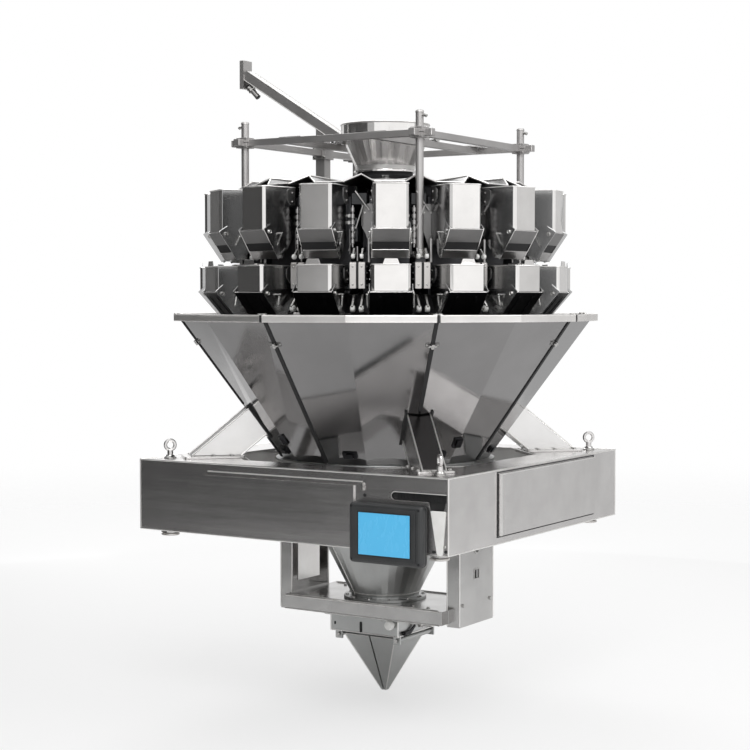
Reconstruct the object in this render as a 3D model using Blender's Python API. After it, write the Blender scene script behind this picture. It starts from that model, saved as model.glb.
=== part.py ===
"""A sixteen head multihead weigher on a square base frame, with the discharge gates of its timing hopper."""

import math

import bmesh
import bpy
from mathutils import Matrix, Vector

GAP = 0.0003  # left between neighbouring pieces
HALF_SHARE = 0.5
FULL_TURN = math.tau
RIGHT_ANGLE = math.pi / 2
EIGHTH_TURN = math.pi / 4
SMOOTH_ANGLE = math.radians(35)
SUNK = 0.020  # how far a fused piece reaches into its neighbour, and a cutter past it

# Base frame: its opening takes the lower funnel with the funnel's arms
FUNNEL_TOP_RADIUS = 0.331
FUNNEL_FLANGE_WIDTH = 0.017
FUNNEL_FLANGE = FUNNEL_TOP_RADIUS + FUNNEL_FLANGE_WIDTH
FUNNEL_ARM_LENGTH = 0.066
OPENING_HALF = FUNNEL_FLANGE + FUNNEL_ARM_LENGTH
BEAM_WIDTH = 0.136
FRAME_HALF = OPENING_HALF + BEAM_WIDTH
FRAME_LOW = 0.023
BEAM_HEIGHT = 0.216
FRAME_TOP = FRAME_LOW + BEAM_HEIGHT
GUSSET_LEG = 0.184
GUSSET_THICK = 0.012
FOOT_INSET = 0.066
FOOT_OFFSET = FRAME_HALF - FOOT_INSET
FOOT_RADIUS = 0.023
FOOT_SEGMENTS = 16
CROSS_BAR_HEIGHT = 0.036
EYE_SHANK_RADIUS = 0.009
EYE_SHANK_HEIGHT = 0.026
EYE_RING_RADIUS = 0.015
EYE_WIRE_RADIUS = 0.0055
EYE_RING_SEGMENTS = 16
EYE_WIRE_SEGMENTS = 6

# Operator screen
HOUSING_FROM_CORNER = 0.184
HOUSING_X = FRAME_HALF - HOUSING_FROM_CORNER
HOUSING_Z = 0.0745
HOUSING_WIDTH = 0.242
HOUSING_HEIGHT = 0.171
HOUSING_DEPTH = 0.038
HOUSING_ROUND = 0.012
HOUSING_ROUND_SEGMENTS = 3
SCREEN_WIDTH = 0.171
SCREEN_HEIGHT = 0.121
SCREEN_THICK = 0.003

# Covers on the frame, and the cable slot with its notch beside the screen
COVER_LEFT = -0.293
COVER_CLEAR = 0.003
COVER_RIGHT = HOUSING_X - HOUSING_WIDTH / 2 - COVER_CLEAR
COVER_LOW = 0.044
COVER_HIGH = 0.203
COVER_PROUD = 0.006
PANEL_LEFT = -0.264
PANEL_RIGHT = 0.376
PANEL_LOW = 0.047
PANEL_HIGH = 0.228
PANEL_PROUD = 0.008
SLOT_LENGTH = 0.178
SLOT_HALF = 0.011
SLOT_Z = 0.181
SLOT_FROM_CORNER = 0.006
SLOT_DEPTH = 0.020
SLOT_SEGMENTS = 8
NOTCH_TOP_WIDTH = 0.060
NOTCH_TIP_WIDTH = 0.022
NOTCH_DROP = 0.066

# Drum and drive units, one for each head
HEADS = 16
HEAD_STEP = FULL_TURN / HEADS
DRUM_RADIUS = 0.345
DRUM_SEGMENTS = 40
HUB_HALF = 0.150
HUB_HEIGHT = 0.221
DRIVE_CLEAR = 0.0066  # between the boxes' inner corners, inside the drum
DRIVE_HALF = (DRUM_RADIUS - SUNK) * math.tan(HEAD_STEP / 2) - DRIVE_CLEAR
DRIVE_DEPTH = 0.091
DRIVE_FRONT = DRUM_RADIUS + DRIVE_DEPTH
DRIVE_ABOVE_DRUM_LOW = 0.054
DRIVE_BELOW_DRUM_TOP = 0.010
COLUMN_HALF = 0.024
COLUMN_REACH = 0.046
COLUMN_FRONT = DRIVE_FRONT + COLUMN_REACH
COLUMN_HEIGHT = 0.071
POLE_ARM_REACH = 0.027
POLE_ARM_FRONT = DRIVE_FRONT + POLE_ARM_REACH
POLE_ARM_HALF = 0.015
POLE_ARM_HEIGHT = 0.037
VIBRATOR_INSET = 0.015
VIBRATOR_LENGTH = 0.130
VIBRATOR_OUTER = DRUM_RADIUS - VIBRATOR_INSET
VIBRATOR_INNER = VIBRATOR_OUTER - VIBRATOR_LENGTH
VIBRATOR_CLEAR = 0.0098
VIBRATOR_HALF = VIBRATOR_INNER * math.tan(HEAD_STEP / 2) - VIBRATOR_CLEAR
POST_RADIUS = 0.070
POST_SEGMENTS = 24

# Heads, from the drive units outwards
HEAD_WALL = 0.004
HEAD_CORNER = 0.0075
FEED_HOOK_LENGTH = 0.007
FEED_INNER = DRIVE_FRONT + FEED_HOOK_LENGTH
FEED_DEPTH = 0.125
FEED_OUTER = FEED_INNER + FEED_DEPTH
FEED_SLOPE_RUN = 0.055
FEED_TIP_OUTER = FEED_OUTER - FEED_SLOPE_RUN
FEED_TIP_DEPTH = 0.021
FEED_HALF = 0.0505
FEED_DOOR_HALF = 0.0555
FEED_BAND_SHARES = (0.02, 0.36)  # of the slope, from its kink
FEED_LIP_SHARES = (0.72, 0.98)
WEIGH_HOOK_LENGTH = 0.014
WEIGH_INNER = DRIVE_FRONT + WEIGH_HOOK_LENGTH
WEIGH_DEPTH = 0.133
WEIGH_OUTER = WEIGH_INNER + WEIGH_DEPTH
WEIGH_SLOPE_RUN = 0.075
WEIGH_TIP_OUTER = WEIGH_OUTER - WEIGH_SLOPE_RUN
WEIGH_TIP_DEPTH = 0.018
WEIGH_HALF = 0.0555
WEIGH_DOOR_HALF = 0.063
WEIGH_PLATE_SHARES = (0.02, 0.98)
DOOR_PROUD = 0.003
DOOR_SHEET = 0.0025
DOOR_EDGE = 0.0042
DOOR_FLANGE_SHARES = (-0.03, 1.02)
DOOR_FLANGE = 0.028
DOOR_FLANGE_TIP = 0.012
HOOK_HALF = 0.026
HOOK_DROP = 0.030
HOOK_HEIGHT = 0.024
TAB_WIDTH = 0.052
TAB_SHOULDER = 0.008
TAB_HEIGHT = 0.017
TAB_THICK = 0.0025
TAB_INSET = 0.0007

# Collecting chute, whose rim passes round the weigh hoppers
FACETS = 16
FACET_STEP = FULL_TURN / FACETS
CHUTE_PANELS = 8
CHUTE_BOTTOM = FUNNEL_TOP_RADIUS
RIM_REACH = 0.087
CHUTE_LIP = WEIGH_OUTER + RIM_REACH
RIM_WIDTH = 0.023
CHUTE_TOP = CHUTE_LIP - RIM_WIDTH
RIM_HEIGHT = 0.018
CHUTE_WALL = 0.004
SEAM_HALF_GAP = 0.003

# Heights, from the frame upwards
CHUTE_SUNK = 0.006
CHUTE_LOW = FRAME_TOP - CHUTE_SUNK
CHUTE_HEIGHT = 0.433
RIM_LOW = CHUTE_LOW + CHUTE_HEIGHT
RIM_TOP = RIM_LOW + RIM_HEIGHT
DRUM_OVER_RIM = 0.007
DRUM_LOW = RIM_TOP + DRUM_OVER_RIM
DRUM_HEIGHT = 0.349
DRUM_TOP = DRUM_LOW + DRUM_HEIGHT
HUB_LOW = DRUM_LOW - HUB_HEIGHT
DRIVE_LOW = DRUM_LOW + DRIVE_ABOVE_DRUM_LOW
DRIVE_TOP = DRUM_TOP - DRIVE_BELOW_DRUM_TOP
WEIGH_OVER_RIM = 0.002
WEIGH_BOTTOM = RIM_LOW + WEIGH_OVER_RIM
WEIGH_DROP = 0.087
WEIGH_KINK = WEIGH_BOTTOM + WEIGH_DROP
WEIGH_BACK_LOWER = 0.015
WEIGH_STRAIGHT = 0.075
WEIGH_TOP = WEIGH_KINK + WEIGH_STRAIGHT
FEED_OVER_WEIGH = 0.022
FEED_BOTTOM = WEIGH_TOP + FEED_OVER_WEIGH
FEED_DROP = 0.083
FEED_KINK = FEED_BOTTOM + FEED_DROP
FEED_BACK_LOWER = 0.010
FEED_STRAIGHT = 0.126
FEED_TOP = FEED_KINK + FEED_STRAIGHT
COLUMN_OVER_WEIGH = 0.006
COLUMN_TOP = WEIGH_TOP + COLUMN_OVER_WEIGH
POLE_OVER_COLUMN = 0.017
POLE_LOW = COLUMN_TOP + POLE_OVER_COLUMN

# Legs
LEG_OVER_BEAM = 0.0455
LEG_FOOT_OUTER = OPENING_HALF * math.sqrt(2) + LEG_OVER_BEAM
LEG_FOOT_LENGTH = 0.155
LEG_FOOT_INNER = LEG_FOOT_OUTER - LEG_FOOT_LENGTH
LEG_UNDER_DRUM = 0.0585
LEG_HALF = 0.035
LEG_CLEAR = 0.006

# Feeder pans and cone
CONE_STEM = 0.118
CONE_CLEAR = 0.012
PAN_INNER = CONE_STEM + CONE_CLEAR
PAN_OVERHANG = 0.023
PAN_OUTER = FEED_INNER + PAN_OVERHANG
PAN_NOTCH_DEPTH = 0.011
PAN_NOTCH = DRIVE_FRONT - PAN_NOTCH_DEPTH
PAN_OVER_FEED = 0.012
PAN_FLOOR = FEED_TOP + PAN_OVER_FEED
PAN_WALL = 0.004
PAN_FLOOR_ANGLE = math.radians(5.5)
PAN_RISE_INNER = 0.012
PAN_RISE_OUTER = 0.024
CONE_RADIUS = 0.165
CONE_OVER_PAN = 0.0073
CONE_STEM_LOW = PAN_FLOOR + CONE_OVER_PAN
CONE_STEM_HEIGHT = 0.0127
CONE_RIM_RISE = 0.004
CONE_RIM_THICK = 0.003
CONE_RISE = 0.012
CONE_CROWN_RADIUS = 0.020
CONE_CROWN_DROP = 0.002
CONE_SEGMENTS = 40

# Hangers, tray and timing hopper, downwards from the frame
HANGER_INSET = 0.102
HANGER_X = OPENING_HALF - HANGER_INSET
HANGER_HALF_DEPTH = 0.022
HANGER_HALF_WIDTH = 0.106
HANGER_WALL = 0.005
HANGER_HOLE_DROP = 0.062
HANGER_HOLE_RADIUS = 0.011
HANGER_HOLE_SEGMENTS = 16
HANGER_WINDOW_DROP = 0.140
HANGER_WINDOW_HALF = 0.013
TRAY_DROP = 0.242
TRAY_TOP = FRAME_LOW - TRAY_DROP
TRAY_THICK = 0.042
TRAY_LOW = TRAY_TOP - TRAY_THICK
HANGER_UNDER_TRAY = 0.010
HANGER_LOW = TRAY_LOW - HANGER_UNDER_TRAY
TIMING_HALF = 0.125
TIMING_FLANGE_WIDTH = 0.015
TIMING_FLANGE_HALF = TIMING_HALF + TIMING_FLANGE_WIDTH
TIMING_FLANGE_THICK = 0.006
TIMING_WALL = 0.004
TIMING_HEIGHT = 0.057
TIMING_LOW = TRAY_LOW - TIMING_HEIGHT
TRAY_EDGE = 0.008
TRAY_HALF_WIDTH = TIMING_FLANGE_HALF + TRAY_EDGE
LUG_THICK = 0.006
LUG_CLEAR = 0.005
LUG_HALF = 0.013
GATE_CLEAR = 0.013
GATE_TOP = TIMING_LOW - GATE_CLEAR
GATE_HEIGHT = 0.189
GATE_TIP = GATE_TOP - GATE_HEIGHT
GATE_INSET = 0.031
GATE_TOP_HALF = TIMING_HALF - GATE_INSET
GATE_TIP_HALF = 0.008
GATE_WALL = 0.004
GATE_PARTING = 0.0025
HINGE_OUTSIDE = 0.014
HINGE_X = GATE_TOP_HALF + HINGE_OUTSIDE
HINGE_DROP = 0.003
HINGE_Z = GATE_TOP - HINGE_DROP
HINGE_BARREL_RADIUS = 0.008
HINGE_PIN_RADIUS = 0.004
HINGE_SEGMENTS = 20
HINGE_HOLE_CLEAR = 0.0004
HINGE_PIN_REACH = 0.005

# Lower funnel
FUNNEL_FLANGE_THICK = 0.0085
FUNNEL_NECK_RADIUS = 0.109
FUNNEL_NECK_RISE = 0.014
FUNNEL_NECK_HIGH = TRAY_TOP + FUNNEL_NECK_RISE
FUNNEL_NECK_CLEAR = 0.0025
FUNNEL_NECK_LOW = TRAY_LOW + FUNNEL_NECK_CLEAR
FUNNEL_WALL = 0.004
FUNNEL_COLLAR_WIDTH = 0.023
FUNNEL_COLLAR_RADIUS = FUNNEL_NECK_RADIUS + FUNNEL_COLLAR_WIDTH
FUNNEL_COLLAR_THICK = 0.008
FUNNEL_SEGMENTS = 40
FUNNEL_ARM_HALF = 0.040
TRAY_HOLE_CLEAR = 0.005
TRAY_HOLE_RADIUS = FUNNEL_NECK_RADIUS + TRAY_HOLE_CLEAR

# Top frame
POLE_STANDOFF = 0.011
POLE_OFFSET = (DRIVE_FRONT + POLE_STANDOFF) / math.sqrt(2)
POLE_RADIUS = 0.012
POLE_SEGMENTS = 16
BAR_OVER_PAN = 0.143
BAR_Z = PAN_FLOOR + BAR_OVER_PAN
POLE_OVER_BAR = 0.060
POLE_TOP = BAR_Z + POLE_OVER_BAR
BAR_HALF = 0.010
BAR_BEYOND_POLE = 0.044
BAR_REACH = POLE_OFFSET + BAR_BEYOND_POLE
CLAMP_HALF = 0.0205
CLAMP_HALF_HEIGHT = 0.016

# Infeed funnel, carried by tabs on the two inner bars
INFEED_TOP_RADIUS = 0.140
INNER_BAR_CLEAR = 0.015
INNER_BAR_X = INFEED_TOP_RADIUS + INNER_BAR_CLEAR
INFEED_BAND_LOW_RISE = 0.024
INFEED_BAND_LOW = BAR_Z + INFEED_BAND_LOW_RISE
INFEED_BAND_HEIGHT = 0.041
INFEED_TOP = INFEED_BAND_LOW + INFEED_BAND_HEIGHT
INFEED_NECK_RADIUS = 0.089
INFEED_TAPER_HEIGHT = 0.103
INFEED_NECK_Z = INFEED_BAND_LOW - INFEED_TAPER_HEIGHT
INFEED_FLANGE_THICK = 0.006
INFEED_LOW = INFEED_NECK_Z - INFEED_FLANGE_THICK
INFEED_FLANGE_WIDTH = 0.011
INFEED_FLANGE_RADIUS = INFEED_NECK_RADIUS + INFEED_FLANGE_WIDTH
INFEED_WALL = 0.004
INFEED_SEGMENTS = 40
FUNNEL_TAB_IN = 0.010
FUNNEL_TAB_OUT = 0.015
FUNNEL_TAB_NEAR_Y = 0.030
FUNNEL_TAB_FAR_Y = 0.050
FUNNEL_TAB_THICK = 0.006

# Sensor arm and sensor
ARM_Y = 0.115
ARM_INSIDE_POLE = 0.119
ARM_OUTSIDE_POLE = 0.311
ARM_LOW_RISE = 0.018
ARM_HIGH_RISE = 0.281
ARM_HALF_DEPTH = 0.0155
ARM_HALF_WIDTH = 0.020
ARM_WALL = 0.004
SENSOR_POST_HALF = 0.0175
SENSOR_POST_BELOW_BAR = 0.104
SENSOR_POST_OVER_BAR = 0.084
SENSOR_CLAMP_HALF = 0.026
SENSOR_CLAMP_HALF_WIDTH = 0.024
SENSOR_CLAMP_HALF_HEIGHT = 0.021
END_PLATE_HALF_WIDTH = 0.0245
END_PLATE_HALF_HEIGHT = 0.048
END_PLATE_THICK = 0.016
SENSOR_RADIUS = 0.0095
SENSOR_LENGTH = 0.062
SENSOR_SEGMENTS = 20
SENSOR_FROM_PLATE_END = 0.014

STEEL = (0.72, 0.72, 0.73)
DARK_STEEL = (0.45, 0.45, 0.47)
SHELL_GREY = (0.05, 0.05, 0.055)
SCREEN_BLUE = (0.09, 0.44, 0.74)


def clear_scene():
    for obj in list(bpy.data.objects):
        bpy.data.objects.remove(obj, do_unlink=True)


def make_material(name, colour, metallic, roughness):
    material = bpy.data.materials.new(name)
    material.use_nodes = True
    shader = material.node_tree.nodes["Principled BSDF"]
    shader.inputs["Base Color"].default_value = (*colour, 1)
    shader.inputs["Metallic"].default_value = metallic
    shader.inputs["Roughness"].default_value = roughness
    material.diffuse_color = (*colour, 1)
    return material


def add_object(name, bm, smooth=False):
    """Closes the bmesh into an object whose frame is the machine axis at foot level."""
    bmesh.ops.recalc_face_normals(bm, faces=bm.faces[:])
    mesh = bpy.data.meshes.new(name)
    bm.to_mesh(mesh)
    bm.free()
    obj = bpy.data.objects.new(name, mesh)
    bpy.context.scene.collection.objects.link(obj)
    obj.parent = bpy.data.objects["machine_axis"]
    if smooth:
        mesh.shade_smooth()
        mesh.set_sharp_from_angle(angle=SMOOTH_ANGLE)
    return obj


def finish(obj, colour, metallic=1.0, roughness=0.3):
    obj.data.materials.clear()
    obj.data.materials.append(make_material(obj.name, colour, metallic, roughness))
    return obj


def hide(obj):
    obj.hide_render = True
    obj.display_type = "WIRE"
    return obj


def combine(obj, tool, operation):
    """Joins or cuts at once, so that copies can share the finished mesh."""
    modifier = obj.modifiers.new(tool.name, "BOOLEAN")
    modifier.operation = operation
    modifier.solver = "EXACT"
    modifier.object = hide(tool)
    bpy.context.view_layer.update()
    graph = bpy.context.evaluated_depsgraph_get()
    mesh = bpy.data.meshes.new_from_object(obj.evaluated_get(graph))
    obj.modifiers.clear()
    obj.data = mesh
    bpy.data.objects.remove(tool, do_unlink=True)
    return obj


def join(obj, *tools):
    for tool in tools:
        combine(obj, tool, "UNION")
    return obj


def cut(obj, *tools):
    for tool in tools:
        combine(obj, tool, "DIFFERENCE")
    return obj


def loft(bm, rings):
    """Joins each ring of vertices to the next one."""
    for here, there in zip(rings, rings[1:]):
        for i in range(len(here)):
            j = (i + 1) % len(here)
            bm.faces.new((here[i], here[j], there[j], there[i]))


def prism(bm, outline, low, high, matrix=None):
    """A closed prism: the outline lies in the local XY plane and runs from low to high along Z."""
    rings = []
    for height in (low, high):
        ring = []
        for u, v in outline:
            point = Vector((u, v, height))
            ring.append(bm.verts.new(matrix @ point if matrix else point))
        rings.append(ring)
    loft(bm, rings)
    bm.faces.new(rings[0])
    bm.faces.new(rings[1])


def rectangle(x_low, x_high, y_low, y_high):
    return [(x_low, y_low), (x_high, y_low), (x_high, y_high), (x_low, y_high)]


def circle(radius, segments, turned=0.0):
    points = []
    for i in range(segments):
        angle = turned + FULL_TURN * i / segments
        points.append((radius * math.cos(angle), radius * math.sin(angle)))
    return points


def block(bm, x, y, z, matrix=None):
    """A box from three (low, high) ranges."""
    prism(bm, rectangle(*x, *y), *z, matrix)


def about(middle, half):
    return (middle - half, middle + half)


def turned(angle):
    return Matrix.Rotation(angle, 4, "Z")


def upright(angle):
    """Maps an outline of (radius, height) to the vertical plane at this angle; local Z runs across it."""
    return turned(angle) @ Matrix.Rotation(RIGHT_ANGLE, 4, "X")


def revolve(bm, profile, segments):
    """A closed ring from a closed profile of (radius, height), solid where the profile meets the axis."""
    rings = []
    for radius, height in profile:
        if radius == 0:
            rings.append([bm.verts.new((0, 0, height))] * segments)
            continue
        ring = [bm.verts.new((x, y, height)) for x, y in circle(radius, segments)]
        rings.append(ring)
    for here, there in zip(rings, rings[1:] + rings[:1]):
        for i in range(segments):
            j = (i + 1) % segments
            corners = [here[i], here[j], there[j], there[i]]
            unique = [v for k, v in enumerate(corners) if v not in corners[:k]]
            if len(unique) > 2:
                bm.faces.new(unique)


def head_angle(index):
    return (index + HALF_SHARE) * HEAD_STEP


# Base frame


def frame_body():
    bm = bmesh.new()
    prism(bm, rectangle(-FRAME_HALF, FRAME_HALF, -FRAME_HALF, FRAME_HALF), FRAME_LOW, FRAME_TOP)
    frame = add_object("base_frame", bm)
    bm = bmesh.new()
    span = (-OPENING_HALF, OPENING_HALF)
    block(bm, span, span, (FRAME_LOW - SUNK, FRAME_TOP + SUNK))
    return cut(frame, add_object("frame_opening", bm))


def frame_gussets():
    """Triangular plates in the corners of the opening, flush with the top, for the legs to stand on."""
    bm = bmesh.new()
    corner = OPENING_HALF + SUNK
    inner = OPENING_HALF - GUSSET_LEG
    outline = [(corner, corner), (inner, corner), (corner, inner)]
    for i in range(4):
        prism(bm, outline, FRAME_TOP - GUSSET_THICK, FRAME_TOP, turned(i * RIGHT_ANGLE))
    return add_object("frame_gussets", bm)


def frame_cross_bars():
    """Two bars across the opening that the hopper hangers bolt to."""
    bm = bmesh.new()
    reach = OPENING_HALF + SUNK
    for side in (-1, 1):
        block(bm, about(side * HANGER_X, HANGER_HALF_DEPTH), (-reach, reach),
              (FRAME_LOW, FRAME_LOW + CROSS_BAR_HEIGHT))
    return add_object("frame_cross_bars", bm)


def frame_feet():
    bm = bmesh.new()
    for x in (-FOOT_OFFSET, FOOT_OFFSET):
        for y in (-FOOT_OFFSET, FOOT_OFFSET):
            prism(bm, circle(FOOT_RADIUS, FOOT_SEGMENTS), 0, FRAME_LOW + SUNK, Matrix.Translation((x, y, 0)))
    return add_object("frame_feet", bm)


def frame_covers():
    bm = bmesh.new()
    block(bm, (COVER_LEFT, COVER_RIGHT), (-FRAME_HALF - COVER_PROUD, SUNK - FRAME_HALF),
          (COVER_LOW, COVER_HIGH))
    block(bm, (FRAME_HALF - SUNK, FRAME_HALF + PANEL_PROUD), (PANEL_LEFT, PANEL_RIGHT),
          (PANEL_LOW, PANEL_HIGH))
    return add_object("frame_covers", bm)


def frame_eye_shanks():
    bm = bmesh.new()
    for i in range(4):
        angle = EIGHTH_TURN + i * RIGHT_ANGLE
        place = turned(angle) @ Matrix.Translation((FOOT_OFFSET * math.sqrt(2), 0, 0))
        prism(bm, circle(EYE_SHANK_RADIUS, EYE_RING_SEGMENTS), FRAME_TOP - SUNK,
              FRAME_TOP + EYE_SHANK_HEIGHT, place)
    return add_object("frame_eye_shanks", bm)


def eye_ring(bm, place):
    """A lifting eye's ring, upright in the local XZ plane."""
    out = Matrix.Translation((EYE_RING_RADIUS, 0, 0))
    rings = []
    for i in range(EYE_RING_SEGMENTS):
        swing = Matrix.Rotation(FULL_TURN * i / EYE_RING_SEGMENTS, 4, "Y")
        matrix = place @ swing @ out
        section = circle(EYE_WIRE_RADIUS, EYE_WIRE_SEGMENTS)
        rings.append([bm.verts.new(matrix @ Vector((x, y, 0))) for x, y in section])
    loft(bm, rings + rings[:1])


def frame_eye_rings():
    bm = bmesh.new()
    middle = FRAME_TOP + EYE_SHANK_HEIGHT + EYE_RING_RADIUS
    for i in range(4):
        angle = EIGHTH_TURN + i * RIGHT_ANGLE
        eye_ring(bm, turned(angle) @ Matrix.Translation((FOOT_OFFSET * math.sqrt(2), 0, middle)))
    return add_object("frame_eye_rings", bm)


def frame_slot():
    """The cable slot beside the screen: it runs to the corner, with one round end."""
    end = FRAME_HALF - SLOT_FROM_CORNER
    start = end - SLOT_LENGTH + SLOT_HALF
    outline = [(end, SLOT_Z - SLOT_HALF), (end, SLOT_Z + SLOT_HALF)]
    for i in range(SLOT_SEGMENTS + 1):
        angle = RIGHT_ANGLE + math.pi * i / SLOT_SEGMENTS
        outline.append((start + SLOT_HALF * math.cos(angle), SLOT_Z + SLOT_HALF * math.sin(angle)))
    bm = bmesh.new()
    prism(bm, outline, FRAME_HALF - SLOT_DEPTH, FRAME_HALF + SUNK, upright(0))
    return add_object("frame_slot", bm)


def frame_notch():
    """The tapered notch that leads down from the slot."""
    end = FRAME_HALF - SLOT_FROM_CORNER
    top = SLOT_Z
    low = SLOT_Z - SLOT_HALF - NOTCH_DROP
    middle = end - NOTCH_TOP_WIDTH / 2
    half_tip = NOTCH_TIP_WIDTH / 2
    outline = [(end - NOTCH_TOP_WIDTH, top), (middle - half_tip, low), (middle + half_tip, low), (end, top)]
    bm = bmesh.new()
    prism(bm, outline, FRAME_HALF - SLOT_DEPTH, FRAME_HALF + SUNK, upright(0))
    return add_object("frame_notch", bm)


def build_base_frame():
    frame = frame_body()
    join(frame, frame_gussets(), frame_cross_bars(), frame_feet(), frame_covers())
    join(frame, frame_eye_shanks(), frame_eye_rings())
    cut(frame, frame_slot(), frame_notch())
    finish(frame, STEEL)


def build_screen():
    front = FRAME_HALF + GAP
    bm = bmesh.new()
    block(bm, about(HOUSING_X, HOUSING_WIDTH / 2), (-front - HOUSING_DEPTH, -front),
          about(HOUSING_Z, HOUSING_HEIGHT / 2))
    housing = add_object("screen_housing", bm)
    rounding = housing.modifiers.new("round", "BEVEL")
    rounding.width = HOUSING_ROUND
    rounding.segments = HOUSING_ROUND_SEGMENTS
    rounding.limit_method = "ANGLE"
    finish(housing, SHELL_GREY, 0.0, 0.5)
    face = front + HOUSING_DEPTH + GAP
    bm = bmesh.new()
    block(bm, about(HOUSING_X, SCREEN_WIDTH / 2), (-face - SCREEN_THICK, -face),
          about(HOUSING_Z, SCREEN_HEIGHT / 2))
    finish(add_object("screen", bm), SCREEN_BLUE, 0.0, 0.15)


# Heads


def slope_levels(inner, outer, tip_inner, tip_outer, top, kink, back_lower, low):
    """(height, inner radius, outer radius) from rim to tip; the back wall bends lower than the front."""
    back = kink - back_lower
    front_there = outer + (tip_outer - outer) * (kink - back) / (kink - low)
    return [
        (top, inner, outer),
        (kink, inner, outer),
        (back, inner, front_there),
        (low, tip_inner, tip_outer),
    ]


def between(first, second, height):
    """The level at this height on the line between two levels."""
    share = (height - first[0]) / (second[0] - first[0])
    return tuple(a + (b - a) * share for a, b in zip(first, second))


def bucket_ring(bm, level, half):
    """A half width section with chamfered front corners."""
    height, inner, outer = level
    side = outer - HEAD_CORNER
    front = half - HEAD_CORNER
    outline = [(inner, -half), (side, -half), (outer, -front), (outer, front), (side, half), (inner, half)]
    return [bm.verts.new((r, y, height)) for r, y in outline]


def bucket(bm, levels, half):
    """An open topped folded shell that follows the levels."""
    outside = [bucket_ring(bm, level, half) for level in levels]
    floor = between(levels[-2], levels[-1], levels[-1][0] + HEAD_WALL)
    inside = []
    for height, inner, outer in (*levels[:-1], floor):
        inside.append(bucket_ring(bm, (height, inner + HEAD_WALL, outer - HEAD_WALL), half - HEAD_WALL))
    loft(bm, outside)
    loft(bm, inside)
    loft(bm, (outside[0], inside[0]))
    bm.faces.new(outside[-1])
    bm.faces.new(inside[-1])


def door_frame(levels):
    """The kink and the tip of the sloped front, and the direction out of it, as (radius, height) vectors."""
    kink = Vector((levels[1][2], levels[1][0]))
    tip = Vector((levels[-1][2], levels[-1][0]))
    down = (tip - kink).normalized()
    return kink, tip, Vector((-down.y, down.x))


def door_strip(levels, shares, half):
    """A plate of the door across the sloped front, between two shares of the slope."""
    kink, tip, out = door_frame(levels)
    start, end = (kink.lerp(tip, share) for share in shares)
    outline = [start + out * DOOR_PROUD, end + out * DOOR_PROUD]
    outline += [end - out * (HEAD_WALL / 2), start - out * (HEAD_WALL / 2)]
    bm = bmesh.new()
    reach = half - DOOR_SHEET / 2
    prism(bm, outline, -reach, reach, upright(0))
    return add_object("door_strip", bm)


def door_flanges(levels, half):
    """The door's side flanges, which stand off the bucket's sides and carry its pivots."""
    kink, tip, out = door_frame(levels)
    start, end = (kink.lerp(tip, share) for share in DOOR_FLANGE_SHARES)
    outline = [start + out * DOOR_EDGE, end + out * DOOR_EDGE]
    outline += [end - out * DOOR_FLANGE_TIP, start - out * DOOR_FLANGE]
    bm = bmesh.new()
    prism(bm, outline, half - DOOR_SHEET, half, upright(0))
    prism(bm, outline, -half, DOOR_SHEET - half, upright(0))
    return add_object("door_flanges", bm)


def hopper_hook(levels):
    """The block behind the bucket that hangs it on its drive unit."""
    top, inner, _ = levels[0]
    bm = bmesh.new()
    block(bm, (DRIVE_FRONT + GAP, inner + HEAD_WALL / 2), (-HOOK_HALF, HOOK_HALF),
          (top - HOOK_DROP - HOOK_HEIGHT, top - HOOK_DROP))
    return add_object("hopper_hook", bm)


def make_hopper(levels, half, *door_pieces):
    """A bucket at the zero angle, with its door and its hook."""
    bm = bmesh.new()
    bucket(bm, levels, half)
    return join(add_object("hopper", bm), *door_pieces, hopper_hook(levels))


def repeat_hopper(first, kind):
    for index in range(HEADS):
        hopper = first if index == 0 else first.copy()
        hopper.name = f"{kind}_{index + 1:02d}"
        if index:
            bpy.context.scene.collection.objects.link(hopper)
        hopper.rotation_euler.z = head_angle(index)


def build_feed_hoppers():
    levels = slope_levels(FEED_INNER, FEED_OUTER, FEED_TIP_OUTER - FEED_TIP_DEPTH, FEED_TIP_OUTER,
                          FEED_TOP, FEED_KINK, FEED_BACK_LOWER, FEED_BOTTOM)
    band = door_strip(levels, FEED_BAND_SHARES, FEED_DOOR_HALF)
    lip = door_strip(levels, FEED_LIP_SHARES, FEED_DOOR_HALF)
    first = make_hopper(levels, FEED_HALF, band, lip, door_flanges(levels, FEED_DOOR_HALF))
    repeat_hopper(finish(first, STEEL), "feed_hopper")


def rim_tab(levels):
    """The raised tab on the front edge of a weigh hopper, with sloped shoulders."""
    top, _, outer = levels[0]
    foot = TAB_WIDTH / 2
    crest = foot - TAB_SHOULDER
    low = top - HEAD_WALL
    high = top + TAB_HEIGHT
    bm = bmesh.new()
    prism(bm, [(-foot, low), (foot, low), (crest, high), (-crest, high)], outer - TAB_INSET - TAB_THICK,
          outer - TAB_INSET, upright(RIGHT_ANGLE))
    return add_object("rim_tab", bm)


def build_weigh_hoppers():
    levels = slope_levels(WEIGH_INNER, WEIGH_OUTER, WEIGH_TIP_OUTER - WEIGH_TIP_DEPTH, WEIGH_TIP_OUTER,
                          WEIGH_TOP, WEIGH_KINK, WEIGH_BACK_LOWER, WEIGH_BOTTOM)
    plate = door_strip(levels, WEIGH_PLATE_SHARES, WEIGH_DOOR_HALF)
    first = make_hopper(levels, WEIGH_HALF, plate, door_flanges(levels, WEIGH_DOOR_HALF), rim_tab(levels))
    repeat_hopper(finish(first, STEEL), "weigh_hopper")


# Drum, drive units, feeders and cone


def drum_hub():
    bm = bmesh.new()
    span = (-HUB_HALF, HUB_HALF)
    block(bm, span, span, (HUB_LOW, DRUM_LOW + SUNK), turned(EIGHTH_TURN))
    return add_object("drum_hub", bm)


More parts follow.
